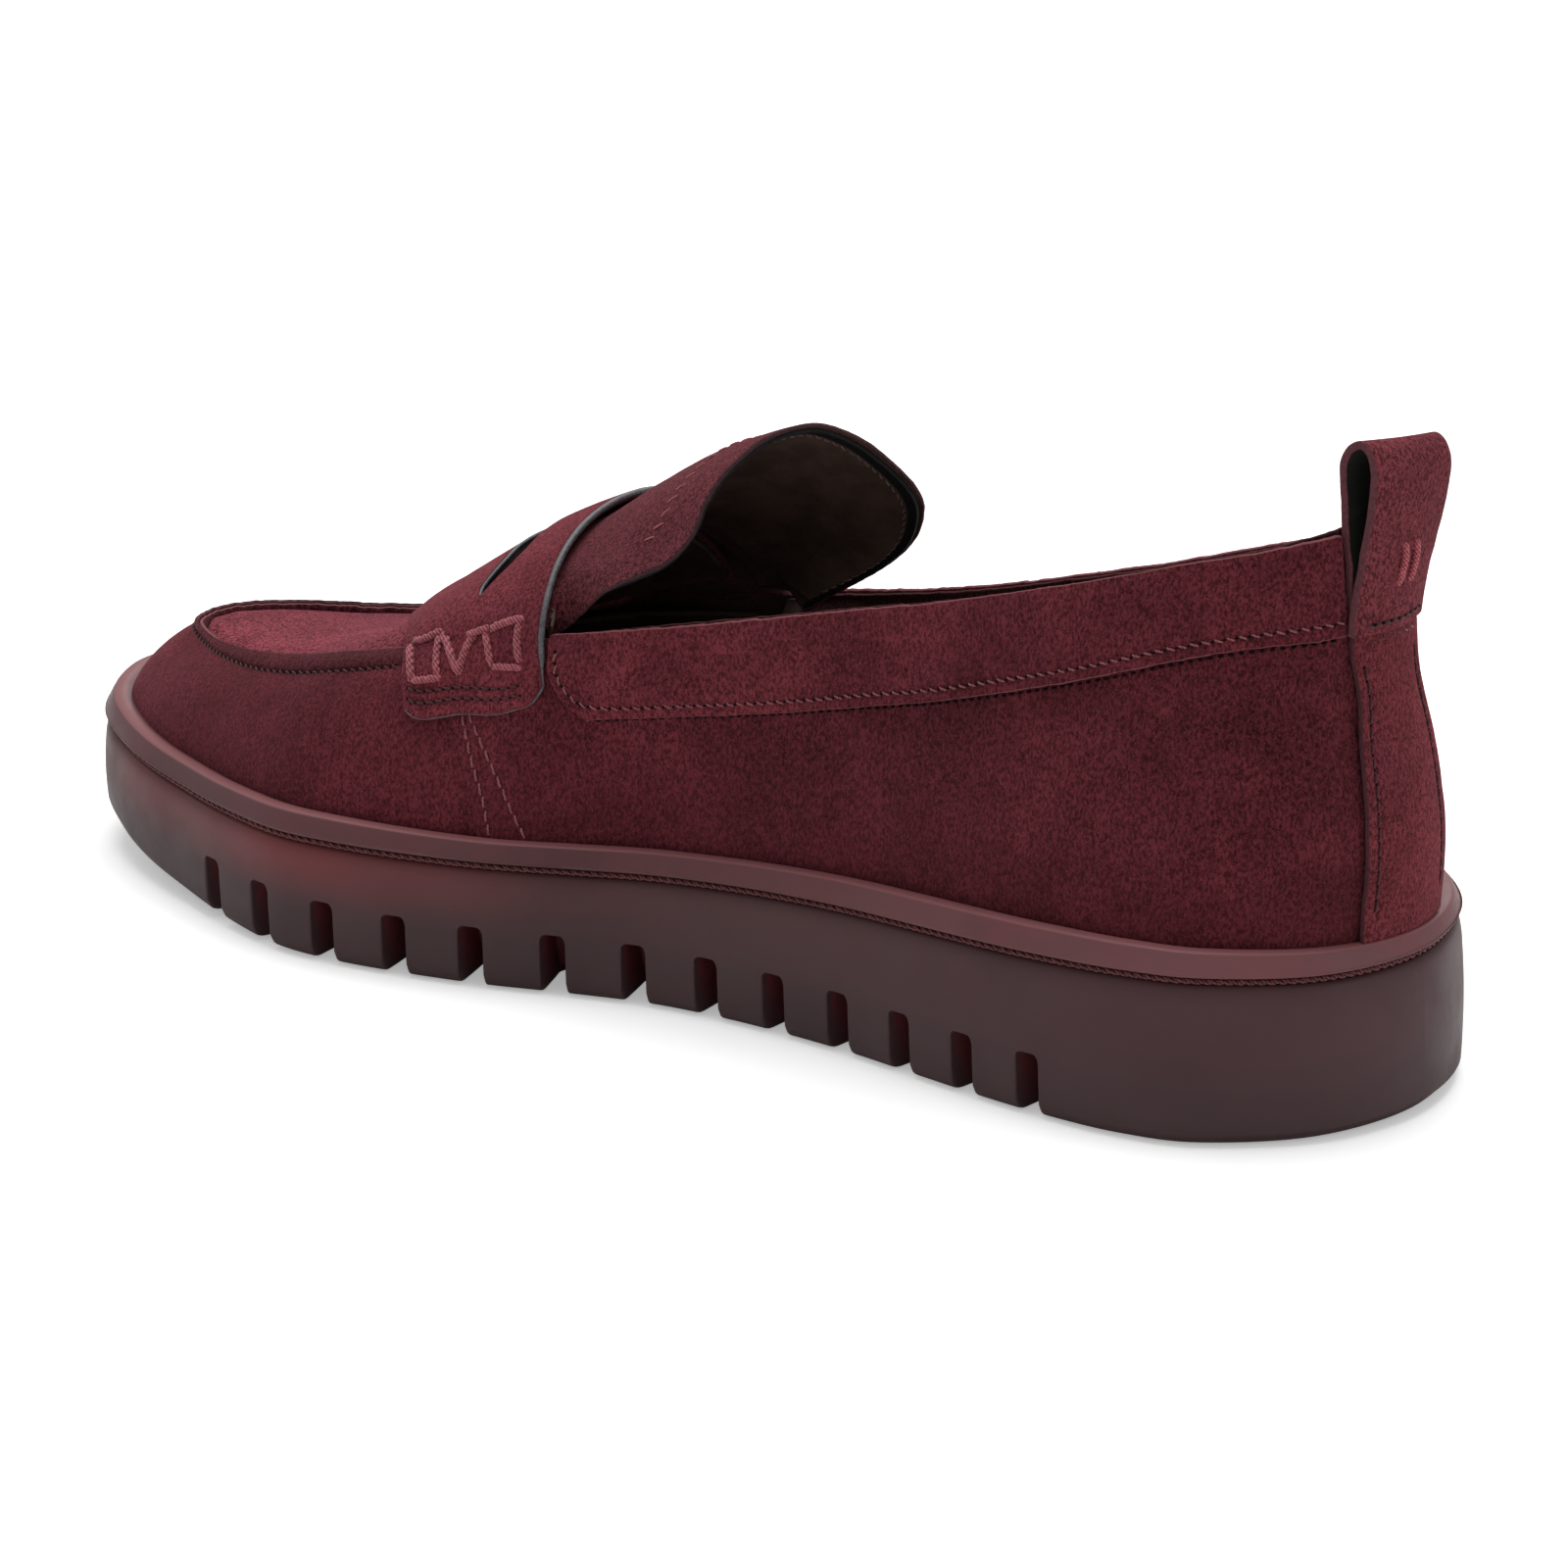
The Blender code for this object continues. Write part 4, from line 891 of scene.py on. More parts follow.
def smooth_leather(name, color, rough=.42, coat=.12, spec=.5, crackle=.35):
    """Narrow binding leather with fine cross creases."""
    mat = Shader(name)
    broad = mat.noise(size=1.1, rough=.6, distort=1.2)
    fine = mat.noise(size=.35, detail=2.0, rough=.7)
    lines = mat.span(mat.cells(1500.0, "DISTANCE_TO_EDGE"), lo=0.0, hi=.09)
    shade = mat.mix(mat.span(broad, lo=.35, hi=.7), scaled(color, .62), scaled(color, 1.35))
    shade = mat.mix(mat.mul(mat.invert(lines), crackle), shade, scaled(color, .35))
    shade = mat.mix(mat.mul(mat.span(fine, lo=.56, hi=.74), .5), shade, scaled(color, 3.4))
    normal = mat.bump(lines, strength=.25, depth=.12)
    normal = mat.bump(fine, strength=.3, depth=.1, normal=normal)
    rough = mat.span(broad, lo=.3, hi=.7, at_lo=rough - .08, at_hi=rough + .14)
    return mat.finish(shade, rough, normal, {
        "Coat Weight": coat, "Coat Roughness": .3, "Specular IOR Level": spec})


def lining_cloth(name, color):
    """Dark smooth pigskin-like lining with pores."""
    mat = Shader(name)
    pores = mat.span(mat.cells(900.0), lo=.05, hi=.28)
    broad = mat.noise(size=9)
    fine = mat.noise(size=.5, rough=.7)
    shade = mat.mix(mat.span(broad, lo=.35, hi=.65), scaled(color, .8), scaled(color, 1.25))
    shade = mat.mix(mat.mul(mat.invert(pores), .45), shade, scaled(color, .4))
    normal = mat.bump(mat.add(pores, fine), strength=.3, depth=.12)
    return mat.finish(shade, .8, normal, {"Specular IOR Level": .10})


def spun_thread(name, color, strand=.34, sheen=.35, dark=.5):
    """Thread with fine diagonal strands, dark times the colour between them as painted shade
    between the strands.
    """
    mat = Shader(name)
    strands = mat.node("TexWave", {
        "Vector": mat.position, "Scale": 1000.0 / (strand * 3.1), "Distortion": 1.5,
        "Detail": 2.0, "Detail Scale": 2.0}, bands_direction="DIAGONAL").outputs["Fac"]
    broad = mat.noise(size=1.6, detail=2.0)
    # painted shade between the strands and painted light on them: stripes of dark and lighter
    # copies of the colour
    shade = mat.mix(mat.span(strands, lo=.15, hi=.85), scaled(color, dark), scaled(color, 1.25))
    shade = mat.mix(mat.span(broad, lo=.45, hi=.75, at_hi=.35), shade, scaled(color, 1.7))
    normal = mat.bump(strands, strength=.5, depth=.08)
    return mat.finish(shade, .6, normal, {
        "Sheen Weight": sheen, "Sheen Roughness": .4, "Sheen Tint": (1, .8, .8, 1),
        "Specular IOR Level": .3})


def sole_tint(mat, shade, color, x, z, broad, cloud):
    """Red under the groove of the forefoot, fading downward and to the rear; dark slots."""
    fore = mat.mul(mat.span(x, lo=.015, hi=-.075), mat.span(x, lo=-.134, hi=-.104))
    band = mat.mul(mat.span(z, lo=.0085, hi=.0185), mat.add(mat.mul(fore, .72), .12))
    band = mat.mul(band, mat.span(broad, lo=.30, hi=.60, at_lo=.55))
    shade = mat.mix(band, shade, (.165, .0345, .0370))
    heel = mat.mul(mat.span(x, lo=.03, hi=.10), mat.span(z, lo=.002, hi=.016))
    red, green, blue = color
    shade = mat.mix(mat.mul(heel, .35), shade, (red * 1.12, green * .86, blue * .98))
    deep = mat.span(mat.attr("deep"), lo=.05, hi=.8)
    return mat.mix(deep, shade, (.135, .0310, .0350))


def rim_tint(mat, shade, color, x, z, broad, cloud):
    """Red clouds, with painted light lightening the rim towards the heel and a painted highlight
    paler along the lip.
    """
    lip = mat.span(mat.attr("lip"), lo=.1, hi=.9)
    shade = mat.mix(mat.span(cloud, lo=.42, hi=.66, at_hi=.35), shade, (.118, .034, .037))
    # painted light: the rim is lightened 1.55 times towards the heel
    shade = mat.mix(mat.span(x, lo=-.02, hi=.12), shade, mat.scale(shade, 1.55))
    # painted highlight: the rim's top edge along the lip is painted paler
    return mat.mix(mat.mul(lip, .8), shade, (.24, .092, .098))


def rubber(name, color, rough, coat, tint):
    """Moulded rubber with a faint haze, coloured further by tint."""
    mat = Shader(name)
    x, _, z = mat.xyz()
    broad = mat.noise(size=38, detail=2.0, rough=.5, distort=.3)
    cloud = mat.noise(size=11, rough=.6)
    shade = mat.mix(mat.span(broad, lo=.38, hi=.62), scaled(color, .90), scaled(color, 1.10))
    shade = tint(mat, shade, color, x, z, broad, cloud)
    fine = mat.noise(size=.55, rough=.7)
    mark = mat.span(mat.noise(size=3.2, detail=4.0, rough=.75, distort=1.5), lo=.62, hi=.70)
    normal = mat.bump(fine, strength=.10, depth=.08)
    normal = mat.bump(cloud, strength=.12, depth=.5, normal=normal)
    rough = mat.add(mat.span(cloud, lo=.3, hi=.7, at_lo=rough - .05, at_hi=rough + .07),
                    mat.mul(mark, .08))
    return mat.finish(shade, rough, normal, {
        "Coat Weight": coat, "Coat Roughness": .3, "Specular IOR Level": .20})


def plain_rough(name, color, size, rough, spot=.25, metal=0.0):
    """Foam, board or sheet that is hidden inside: grain and small pits."""
    mat = Shader(name)
    grain = mat.noise(size=size, detail=4.0, rough=.7)
    broad = mat.noise(size=size * 9, detail=2.0)
    pits = mat.cells(1000.0 / (size * 1.6))
    shade = mat.mix(mat.span(grain, lo=.3, hi=.7), scaled(color, 1 - spot),
                    scaled(color, 1 + spot))
    shade = mat.mix(mat.span(broad, lo=.4, hi=.7, at_hi=.3), shade, scaled(color, .8))
    normal = mat.bump(mat.add(grain, pits), strength=.35, depth=.15)
    return mat.finish(shade, rough, normal, {"Metallic": metal})


BURGUNDY = (.080, .0150, .0195)
MAT = {
    "suede": suede("suede_upper", BURGUNDY, low=(.046, .0085, .0115),
                   ramp=(-.03, .05, 1.22, 1.0)),
    "suede_vamp": suede("suede_vamp", BURGUNDY, grain=.9),
    # painted light: the apron's base is over twice as light as the quarters', standing in for its
    # upward face lit from above
    "suede_apron_lit": suede("suede_apron_lit", (.176, .0355, .0475), grain=1.6),
    "suede_band": suede("suede_band", scaled(BURGUNDY, 1.27), ramp=(-.02, .11, 1.13, .84),
                        cut=(.20, .075, .085)),
    "suede_facing": suede("suede_facing", (.034, .0120, .0125), cut=(.06, .02, .022)),
    # painted shade: near-black leather for the slit's cut walls and its backing, standing in for
    # the shade inside the narrow slit
    "slit_shade_leather": smooth_leather("slit_shade_leather", (.013, .0100, .0108), rough=.7, crackle=.3,
                                coat=0.0, spec=.1),
    "suede_strap": suede("suede_strap", scaled(BURGUNDY, 1.38), cut=(.10, .035, .040)),
    "suede_tab": suede("suede_tab", (.123, .0265, .0330), blotch=.5, grain=1.1,
                       cut=(.105, .046, .051)),
    "suede_back": suede("suede_backstay", (.122, .0230, .0290), blotch=.8),
    "suede_tongue": suede("suede_tongue", (.082, .0190, .0235), grain=1.25, blotch=.5,
                          cut=(.05, .035, .038)),
    "suede_roll": suede("suede_roll", (.050, .0110, .0140), grain=1.1, cut=(.28, .135, .140)),
    "raw": suede("raw_edge", (.105, .052, .050), grain=1.3, blotch=.4, sheen=.3),
    "edge": smooth_leather("binding_leather", (.082, .078, .085)),
    "binding": smooth_leather("tongue_binding", (.017, .0160, .0170), rough=.65, coat=0.0,
                              spec=.12),
    "lining": lining_cloth("lining_leather", (.108, .0700, .0570)),
    "tab_inside": lining_cloth("tab_inside", (.013, .0140, .0115)),
    "thread": spun_thread("thread_burgundy", (.165, .055, .058)),
    "thread_dark": spun_thread("thread_dark", (.058, .0140, .0165), sheen=.08),
    "thread_pale": spun_thread("thread_pale", (.34, .16, .145)),
    "thread_thick": spun_thread("thread_waxed", (.30, .066, .083), strand=.5, dark=.36),
    "thread_mark": spun_thread("thread_mark", (.38, .078, .095), strand=.45, dark=.45, sheen=.2),
    "thread_collar": spun_thread("thread_collar", (.24, .075, .082), sheen=.2),
    "thread_pink": spun_thread("thread_pink", (.34, .100, .108), sheen=.2),
    "thread_lining": spun_thread("thread_lining", (.21, .145, .120), sheen=.05),
    "thread_sole": spun_thread("thread_sole", (.125, .031, .033), strand=.5, dark=.3, sheen=.1),
    # painted shade: near-black colour for the beads that stand in for the shade in needle holes
    "hole_shade": lining_cloth("needle_hole", (.006, .0022, .0026)),
    "rubber": rubber("rubber_sole", (.056, .0300, .0318), rough=.48, coat=.03, tint=sole_tint),
    "rim": rubber("rubber_rim", (.091, .0360, .0395), rough=.42, coat=.04, tint=rim_tint),
    "foam": plain_rough("foam", (.35, .33, .30), size=1.2, rough=.9),
    "board": plain_rough("fibre_board", (.30, .22, .15), size=.9, rough=.85),
    "steel": plain_rough("spring_steel", (.55, .55, .56), size=.5, rough=.35, spot=.12,
                         metal=1.0),
    "stiffener": plain_rough("stiffener_sheet", (.62, .58, .50), size=1.4, rough=.8, spot=.15),
    "sock": lining_cloth("sock_lining", (.085, .0620, .0470)),
}

# ---- sole ----------------------------------------------------------------------------------------
EDGE_STATIONS = np.linspace(0, STATIONS, 17601)
EDGE_LENGTHS = arc(edge(EDGE_STATIONS))
EDGE_TOTAL = EDGE_LENGTHS[-1]


def station_at(length):
    """Station at a length round the sole edge."""
    return np.interp(np.mod(length, EDGE_TOTAL), EDGE_LENGTHS, EDGE_STATIONS)


def slot_columns():
    """Columns of the outsole, sorted round the edge.

    Each is (length round the edge, distance from the slot's middle, in slot, rounding, slot
    number or -1).
    """
    half = SLOT_W / 2
    pattern = [    # distance from the middle, in slot, rounding
        (0, 1, 0), (.7, 1, 0), (1.2, 1, 0), (1.6, 1, 0), (1.95, 1, 0),
        (half - .10, 1, .10), (half - .03, 1, .45), (half, 1, 1.1),
        (half + .01, 0, 1.1), (half + .02, 0, .50), (half + .07, 0, .24),
        (half + .17, 0, .09), (half + .33, 0, .02), (half + .60, 0, 0), (half + 1.3, 0, 0)]
    columns, centres = [], []
    stations = np.linspace(2, 20, 721)
    for side, _ in SIDES:
        forward = edge(on_side(stations, side))[:, 0]
        for i in range(SLOTS):
            station = float(np.interp(SLOT_FIRST + SLOT_PITCH * i, forward, stations))
            centre = float(np.interp(on_side(station, side), EDGE_STATIONS, EDGE_LENGTHS))
            centres.append(centre)
            for gap, inside, rounding in pattern:
                for way in ((1,) if gap == 0 else (-1, 1)):
                    columns.append((centre + way * gap, gap, inside, rounding, i))
    centres = np.array(centres)
    for length in np.arange(0, EDGE_TOTAL, 1.9):
        gap = np.abs((centres - length + EDGE_TOTAL / 2) % EDGE_TOTAL - EDGE_TOTAL / 2).min()
        if gap > half + 1.9:
            columns.append((length, gap, 0, 0, -1))
    columns.sort()
    return np.array(columns, float)


def outsole_sections(station, s, gap, near, number):
    """Sections (inset, z) of a solid lug and of a slot, and the first row where they differ."""
    groove = z_groove(s)
    bottom = z_bottom(s) * np.where(s < 60, .35, 1.0)
    ceiling = groove - .6
    half = SLOT_W / 2
    high = np.where(number < 0, SLOT_H, SLOT_H + step((number - 10.6) / .35))
    corner = np.clip((gap - (half - SLOT_ROUND)) / SLOT_ROUND, 0, 1)
    drop = SLOT_ROUND * (1 - np.sqrt(np.clip(1 - corner ** 2, 0, 1)))
    slot_top = high - np.where(near, drop, 0) * (1 - np.clip((gap - half) / 3.0, 0, 1))
    heel = .85 * np.exp(-(np.minimum(station, STATIONS - station) / 2.4) ** 2)

    def wall_row(z):
        part = (z - bottom) / (ceiling - bottom)
        return side_inset(part) - heel * np.clip(1.15 - part, 0, 1), z

    shared = [(RECESS_INSET, groove - RECESS_DEPTH), (RECESS_INSET, ceiling), (1.6, ceiling),
              (.75, ceiling)]
    for part in (.992, .975, .955, .93, .90, .86, .80, .72, .64):
        shared.append(wall_row(bottom + (ceiling - bottom) * part))
    start = bottom + (ceiling - bottom) * .60
    for part in (.0, .35, .65, .84, .93, .975):
        shared.append(wall_row(start + (slot_top - start) * part))

    inset = wall_row(slot_top)[0]
    solid = shared + [(inset, slot_top)]
    low = bottom + 2.4
    for part in (.06, .2, .45, .7, .88, 1.0):
        solid.append(wall_row(slot_top + (low - slot_top) * part))
    for depth, lift in ((-.42, 1.55), (-.05, .85), (.5, .36), (1.3, .09), (2.3, .0), (5.0, 0.0),
                        (8.0, 0.0), (11.0, 0.0)):
        solid.append((depth, bottom + lift))

    hollow = shared + [(inset + .10, slot_top)]
    for depth, fall in ((.38, 0.0), (1.2, 0.02), (3.4, 0.05), (5.2, .15), (6.4, .5), (7.1, 1.1)):
        hollow.append((inset + depth, slot_top - fall))
    back_top = slot_top - 1.1
    for part in (.22, .36, .5, .64, .78, .9, 1.0):
        hollow.append((7.3 + 3.4 * part, back_top + (bottom + 1.6 - back_top) * part))
    hollow.append((11.3, bottom + 1.5))
    solid, hollow = (
        np.stack([np.stack([np.broadcast_to(value, s.shape) for value in row], -1)
                  for row in rows], 1) for rows in (solid, hollow))
    return solid, hollow, len(shared)


def spine_points(s):
    """Middle of the sole as (s, y) beside each column."""
    half_ring = np.linspace(0, TOE, 2201)
    marks = np.linspace(*SPINE, 43)
    medial = edge(np.interp(marks, edge(half_ring)[:, 0], half_ring))[:, 1]
    lateral = edge(STATIONS - np.interp(marks, edge(STATIONS - half_ring)[:, 0], half_ring))[:, 1]
    s = np.clip(s, *SPINE)
    return np.stack([s, np.interp(s, marks, (medial + lateral) / 2)], -1)


def zip_row(points, row, split):
    """Triangles between the medial and lateral halves of one row of the grid."""
    columns, rows = points.shape[:2]
    ids = np.arange(columns) * rows + row
    x = points[:, row, 0]
    medial = list(range(0, split + 1))
    lateral = [0] + list(range(columns - 1, split - 1, -1))
    triangles = []
    i = j = 0
    while i < len(medial) - 1 or j < len(lateral) - 1:
        medial_x = x[medial[i + 1]] if i < len(medial) - 1 else -1e9
        lateral_x = x[lateral[j + 1]] if j < len(lateral) - 1 else -1e9
        here, there = ids[medial[i]], ids[lateral[j]]
        if medial_x >= lateral_x:
            triangle = (here, ids[medial[i + 1]], there)
            i += 1
        else:
            triangle = (here, ids[lateral[j + 1]], there)
            j += 1
        if len(set(triangle)) == 3:
            triangles.append(triangle)
    return triangles


def outsole():
    columns = slot_columns()
    station = station_at(columns[:, 0])
    gap, inside, rounding, number = columns[:, 1], columns[:, 2] > .5, columns[:, 3], columns[:, 4]
    rim, out = edge(station), outward(station)
    s = rim[:, 0]
    near = gap < SLOT_W / 2 + 3.2
    solid, hollow, first = outsole_sections(station, s, gap, near, number)

    # blend from the solid section to the slot's, rounded at the slot's mouth
    apart = np.linalg.norm(hollow - solid, axis=-1) + 1e-9
    share = rounding[:, None] / apart
    share = np.where(inside[:, None], np.maximum(1 - share, .5), np.minimum(share, .5))
    share = np.where(near[:, None], share, 0.0)
    share[:, :first] = 0
    section = solid + (hollow - solid) * share[..., None]
    flat = rim[:, None, :] - out[:, None, :] * section[..., :1]
    points = to_xyz(flat, section[..., 1])
    deep = np.clip(share * 1.6, 0, 1) * np.clip((section[..., 0] + .6) / 1.6, 0, 1) * near[:, None]

    # underside: shallow channels run inward from every slot
    inner, centre, last_share = flat[:, -1], spine_points(s), share[:, -1]
    under, under_deep = [], []
    for part, depth in ((.08, 1.5), (.22, 1.5), (.36, 1.5), (.44, 1.45), (.46, .2), (.50, 0),
                        (.62, 0), (.76, 0), (.80, 0)):
        row = inner + (centre - inner) * part
        under.append(to_xyz(row, z_bottom(row[:, 0]) + depth * last_share))
        under_deep.append(last_share * .3 * (depth > 0))
    points = np.concatenate([points, np.stack(under, 1)], 1)
    deep = np.concatenate([deep, np.stack(under_deep, 1)], 1)

    count, rows = points.shape[:2]
    quads = quad_grid(count, rows, True, False)
    split = int(np.argmin(np.abs(station - TOE)))
    bottom = zip_row(points, rows - 1, split)
    triangles = bottom + [t[::-1] for t in zip_row(points, 0, split)]
    # wind the fills like the quads next to the bottom row
    flat_points = points.reshape(-1, 3)
    corner = flat_points[quads[(np.arange(len(quads)) % (rows - 1)) == rows - 3]]
    quad_z = np.cross(corner[:, 2] - corner[:, 0], corner[:, 3] - corner[:, 1])[:, 2].mean()
    corner = flat_points[np.array(bottom)]
    fill_z = np.cross(corner[:, 1] - corner[:, 0], corner[:, 2] - corner[:, 0])[:, 2].mean()
    if (fill_z < 0) != (quad_z < 0):
        triangles = [t[::-1] for t in triangles]
    place(build("outsole_lugged", points, quads, triangles, ("rubber",), {"deep": deep}, 42),
          "rubber", "outsole")


def inset_of(points, station):
    """How far in from the sole edge the points on each station's row lie."""
    flat = np.stack([HALF - points[..., 0], points[..., 1]], -1)
    return ((edge(station)[:, None] - flat) * outward(station)[:, None]).sum(-1)


def upper_inset(station, z):
    """How far in from the sole edge the upper's face lies at height z."""
    points = wall(station[:, None], np.linspace(0, .5, 101)[None, :])
    insets = inset_of(points, station)
    return np.array([np.interp(z[i], points[i, :, 2], insets[i]) for i in range(len(station))])


def rim_strip():
    station = station_at(np.linspace(0, EDGE_TOTAL, 361)[:-1])
    rim, out = edge(station), outward(station)
    s = rim[:, 0]
    groove, feather = z_groove(s), z_feather(s)
    signed = np.mod(station + STATIONS / 2, STATIONS) - STATIONS / 2
    crest = z_rim(s) - 2.3 * np.exp(-((signed + 1) / 2.2) ** 2)
    touch = upper_inset(station, crest - .5) + .12
    low_touch = upper_inset(station, feather + 1.0) - .1
    high = crest - groove
    # rows of the section: inset, z, share of the painted highlight along the lip
    rows = [(1.9, groove + .86, 0), (1.0, groove + .86, 0), (.35, groove + .87, 0),
            (-.30, groove + .90, 0), (-.70, groove + .96, 0), (-.93, groove + 1.10, 0),
            (-1.02, groove + 1.34, 0)]
    for part in (.31, .39, .48, .58, .68, .78, .86, .91):
        rows.append((-1.02 + 1.55 * ((part - .2) / .72) ** 1.25, groove + part * high,
                     0 if part < .85 else .15))
    rows += [(.62, groove + .938 * high, .45), (.76, groove + .962 * high, .8),
             (.96, groove + .984 * high, 1.0), (1.25, crest + .01, 1.0),
             (np.minimum(touch - .75, 2.0), crest + .08, 1.0),
             (np.minimum(touch - .35, 2.6), crest + .06, .9),
             (touch, crest - .25, 0), (touch + .05, crest - .9, 0),
             (low_touch, feather + 1.0, 0), (np.maximum(low_touch, 3.2), feather - .3, 0),
             (6.5, feather - .3, 0), (RECESS_INSET, feather - .3, 0),
             (RECESS_INSET, groove - .28, 0), (4.0, groove - .28, 0), (2.05, groove - .28, 0),
             (2.0, groove + .3, 0)]
    sections, lip_highlights = [], []
    for inset, z, lip in rows:
        sections.append(to_xyz(rim - out * np.broadcast_to(inset, s.shape)[:, None], z))
        lip_highlights.append(np.full(len(s), lip))
    place(sweep("rim_strip", np.stack(sections, 1), "rim", {"lip": np.stack(lip_highlights, 1)}, sharp=46),
          "rim_rubber", "sole_rim")


def welt_thread():
    station = station_at(np.linspace(0, EDGE_TOTAL, 2401))
    flat = edge(station, .36)
    line = to_xyz(flat, z_groove(flat[:, 0]) + .02), outward_xyz(station)
    place(cord("welt_thread", line, radius=.52, material="thread_sole", plies=2, twist=3.6,
               spacing=.45, sides=6, taper=False), "thread", "sidewall_stitching")


# ---- vamp and quarters ---------------------------------------------------------------------------
def quarter_front(rise):
    return seam_front_row(rise) + .13


def vamp_station(u, rise):
    """The vamp runs from seam to seam, under both quarters."""
    start = quarter_front(rise) - .42
    return start + (STATIONS - 2 * start) * u


def overlap_lift(station, rise):
    """Lift of the quarter's front edge where it lies over the vamp."""
    return .85 * step((station - (quarter_front(rise) - .95)) / .11)


def vamp():
    def relief(u, rise, points):
        # a shallow flex crease in front of the strap
        distance = from_heel(vamp_station(u, rise))
        flex = np.exp(-((distance - 14.8) / .35) ** 2) * np.exp(-((rise - .62) / .2) ** 2)
        return uneven(points, (.14, 17, 1), (.14 * .55, 7.5, 2)) - .22 * flex

    rises = np.concatenate([np.linspace(.015, .1, 5)[:-1], np.linspace(.1, .90, 42),
                            [.925, .945]])
    place(skin("vamp_leather", lambda u, rise, out: wall(vamp_station(u, rise), rise, out),
               np.linspace(0, 1, 260), rises, 0.0, LEATHER, "suede_vamp", "lining",
               relief=relief), "suede", "vamp")


def quarter(side, name):
    def station_of(u, rise):
        return .04 + (quarter_front(rise) - .04) * u

    def surface(u, rise, out):
        return wall_full(on_side(station_of(u, rise), side), rise, out)

    def relief(u, rise, points):
        return (overlap_lift(station_of(u, rise), rise)
                + uneven(points, (.17, 17, 1), (.17 * .55, 7.5, 2)))

    rises = np.linspace(.055, .60, 160)
    rows = [wall(on_side(row(rises), side), rises, out)
            for row, out in ((seam_front_row, .55), (seam_rear_row, .5))]
    u_steps = np.concatenate([np.linspace(0, .90, 150)[:-1], np.linspace(.90, 1, 34)])
    place(skin("quarter_leather_" + name, surface, u_steps, np.linspace(.015, .985, 70), 0.0,
               LEATHER, "suede", "lining", relief=relief, rows=rows, crease=(.28, .8), bulge=.3),
          "suede", "quarter_" + name)


def seam_stitching(side, name):
    rise = np.linspace(.06, .60, 240)
    for tag, row, replaced in (("a", seam_front_row, ["side_seam_stitching_" + name]),
                               ("b", seam_rear_row, [])):
        out = overlap_lift(row(rise), rise) - .22
        line = line_on(wall, on_side(row(rise), side), rise, out)
        sew("seam_stitches_%s_%s" % (name, tag), line, 2.5, 2.05, .21, "thread_collar",
            *replaced)


# ---- apron and its rolled seam -------------------------------------------------------------------
APRON_PITCH = 1.95


def apron():
    """Apron, with a shallow gutter beside the rolled seam."""
    def surface(station, across, out):
        return top(station, across * (0.945 - .25 * step((station - 20.35) / .16)), out)

    def relief(station, across, points):
        return -1.25 * np.abs(across) ** 7 + uneven(points, (.22, 19, 5), (.10, 6, 6))

    stations = np.concatenate([np.linspace(12.6, 19.6, 90), np.linspace(19.65, 20.75, 26)])
    across = np.sin(np.linspace(-1, 1, 81) * np.pi / 2)
    # the apron's lighter suede carries painted light from above
    place(skin("apron_leather", surface, stations, across, 0.0, LEATHER, "suede_apron_lit", "lining",
               relief=relief), "apron_suede", "apron")


def seam_roll():
    """Hand-sewn moccasin seam: the vamp's edge gathered up and rolled over the apron's edge."""
    station = np.linspace(13.75, STATIONS - 13.75, 620)
    low = roll_low(from_heel(station))
    base = wall(station, low)
    pull = np.cos(2 * np.pi * arc(base) / APRON_PITCH) * .5 + .5
    crest = wall(station, 1.0)
    flat = unit(line_on(wall, station, .97, 0.0)[1] * (1, 1, 0))
    rag = uneven(base, (.14, 1.3, 7), (.12, 3.6, 8), (.10, .7, 9))
    sections, cut = [], []
    # up the vamp: share of the way to the top edge, outward offset
    for part, out in ((0.0, -.35), (0.0, .20), (.05, .50), (.16, .80), (.34, .98), (.55, 1.05),
                      (.74, 1.08), (.90, 1.06)):
        pinch = .16 * pull * np.exp(-((part - .06) / .10) ** 2)
        sections.append(wall(station, low + (1 - low) * part,
                             out - pinch * (out > 0) + rag * .45 * (out > .4)))
        cut.append(0)
    # over the crest and down inside: outward, up, cut
    for out, z, raw in (
            (1.08, .08, .2), (1.02, .30, 1), (.86, .58, 1), (.64, .80, 1), (.40, .78, .8),
            (.22, .44, .2), (.14, -.08, 0), (-.02, -.14, 0), (-.10, .18, .6), (-.20, .44, 1),
            (-.45, .54, .9), (-.80, .36, .3), (-1.02, -.10, 0), (-1.14, -.9, 0),
            (-1.18, -1.8, 0), (-1.0, -2.3, 0), (-.2, -2.3, 0)):
        sections.append(crest + flat * (out + rag[:, None] * .6)
                        + UP * (z + (rag[:, None] * .7 if z > .1 else 0)))
        cut.append(raw)
    sections = np.stack(sections, 1)
    cut = np.broadcast_to(np.array(cut, float), sections.shape[:2])
    place(sweep("seam_roll", sections, "suede_roll", {"cut": cut}, ring=False),
          "suede", "apron_seam_lip")


def apron_stitching():
    station = np.linspace(13.95, STATIONS - 13.95, 900)
    line = line_on(wall, station, roll_low(from_heel(station)) - .012, .10)
    sew("apron_seam_stitches", line, APRON_PITCH, 1.35, .17, "thread_dark", "apron_seam_thread",
        slant=.35)
    prick("apron_seam_pricks", line, APRON_PITCH, radius=.24, depth=.02)


# ---- penny strap ---------------------------------------------------------------------------------
def strap_lines():
    """The two rows of stitches across each foot of the strap, by name."""
    lines = {}
    for side, name in SIDES:
        for off, tag in ((.055, "_low"), (.103, "_high")):
            v = np.linspace(.035, .93, 300)
            u = side * (1 - off + .003 * np.cos(v * 6.0))
            lines[name + tag] = line_on(strap, u, v, STRAP_OUT - .12)
    return lines


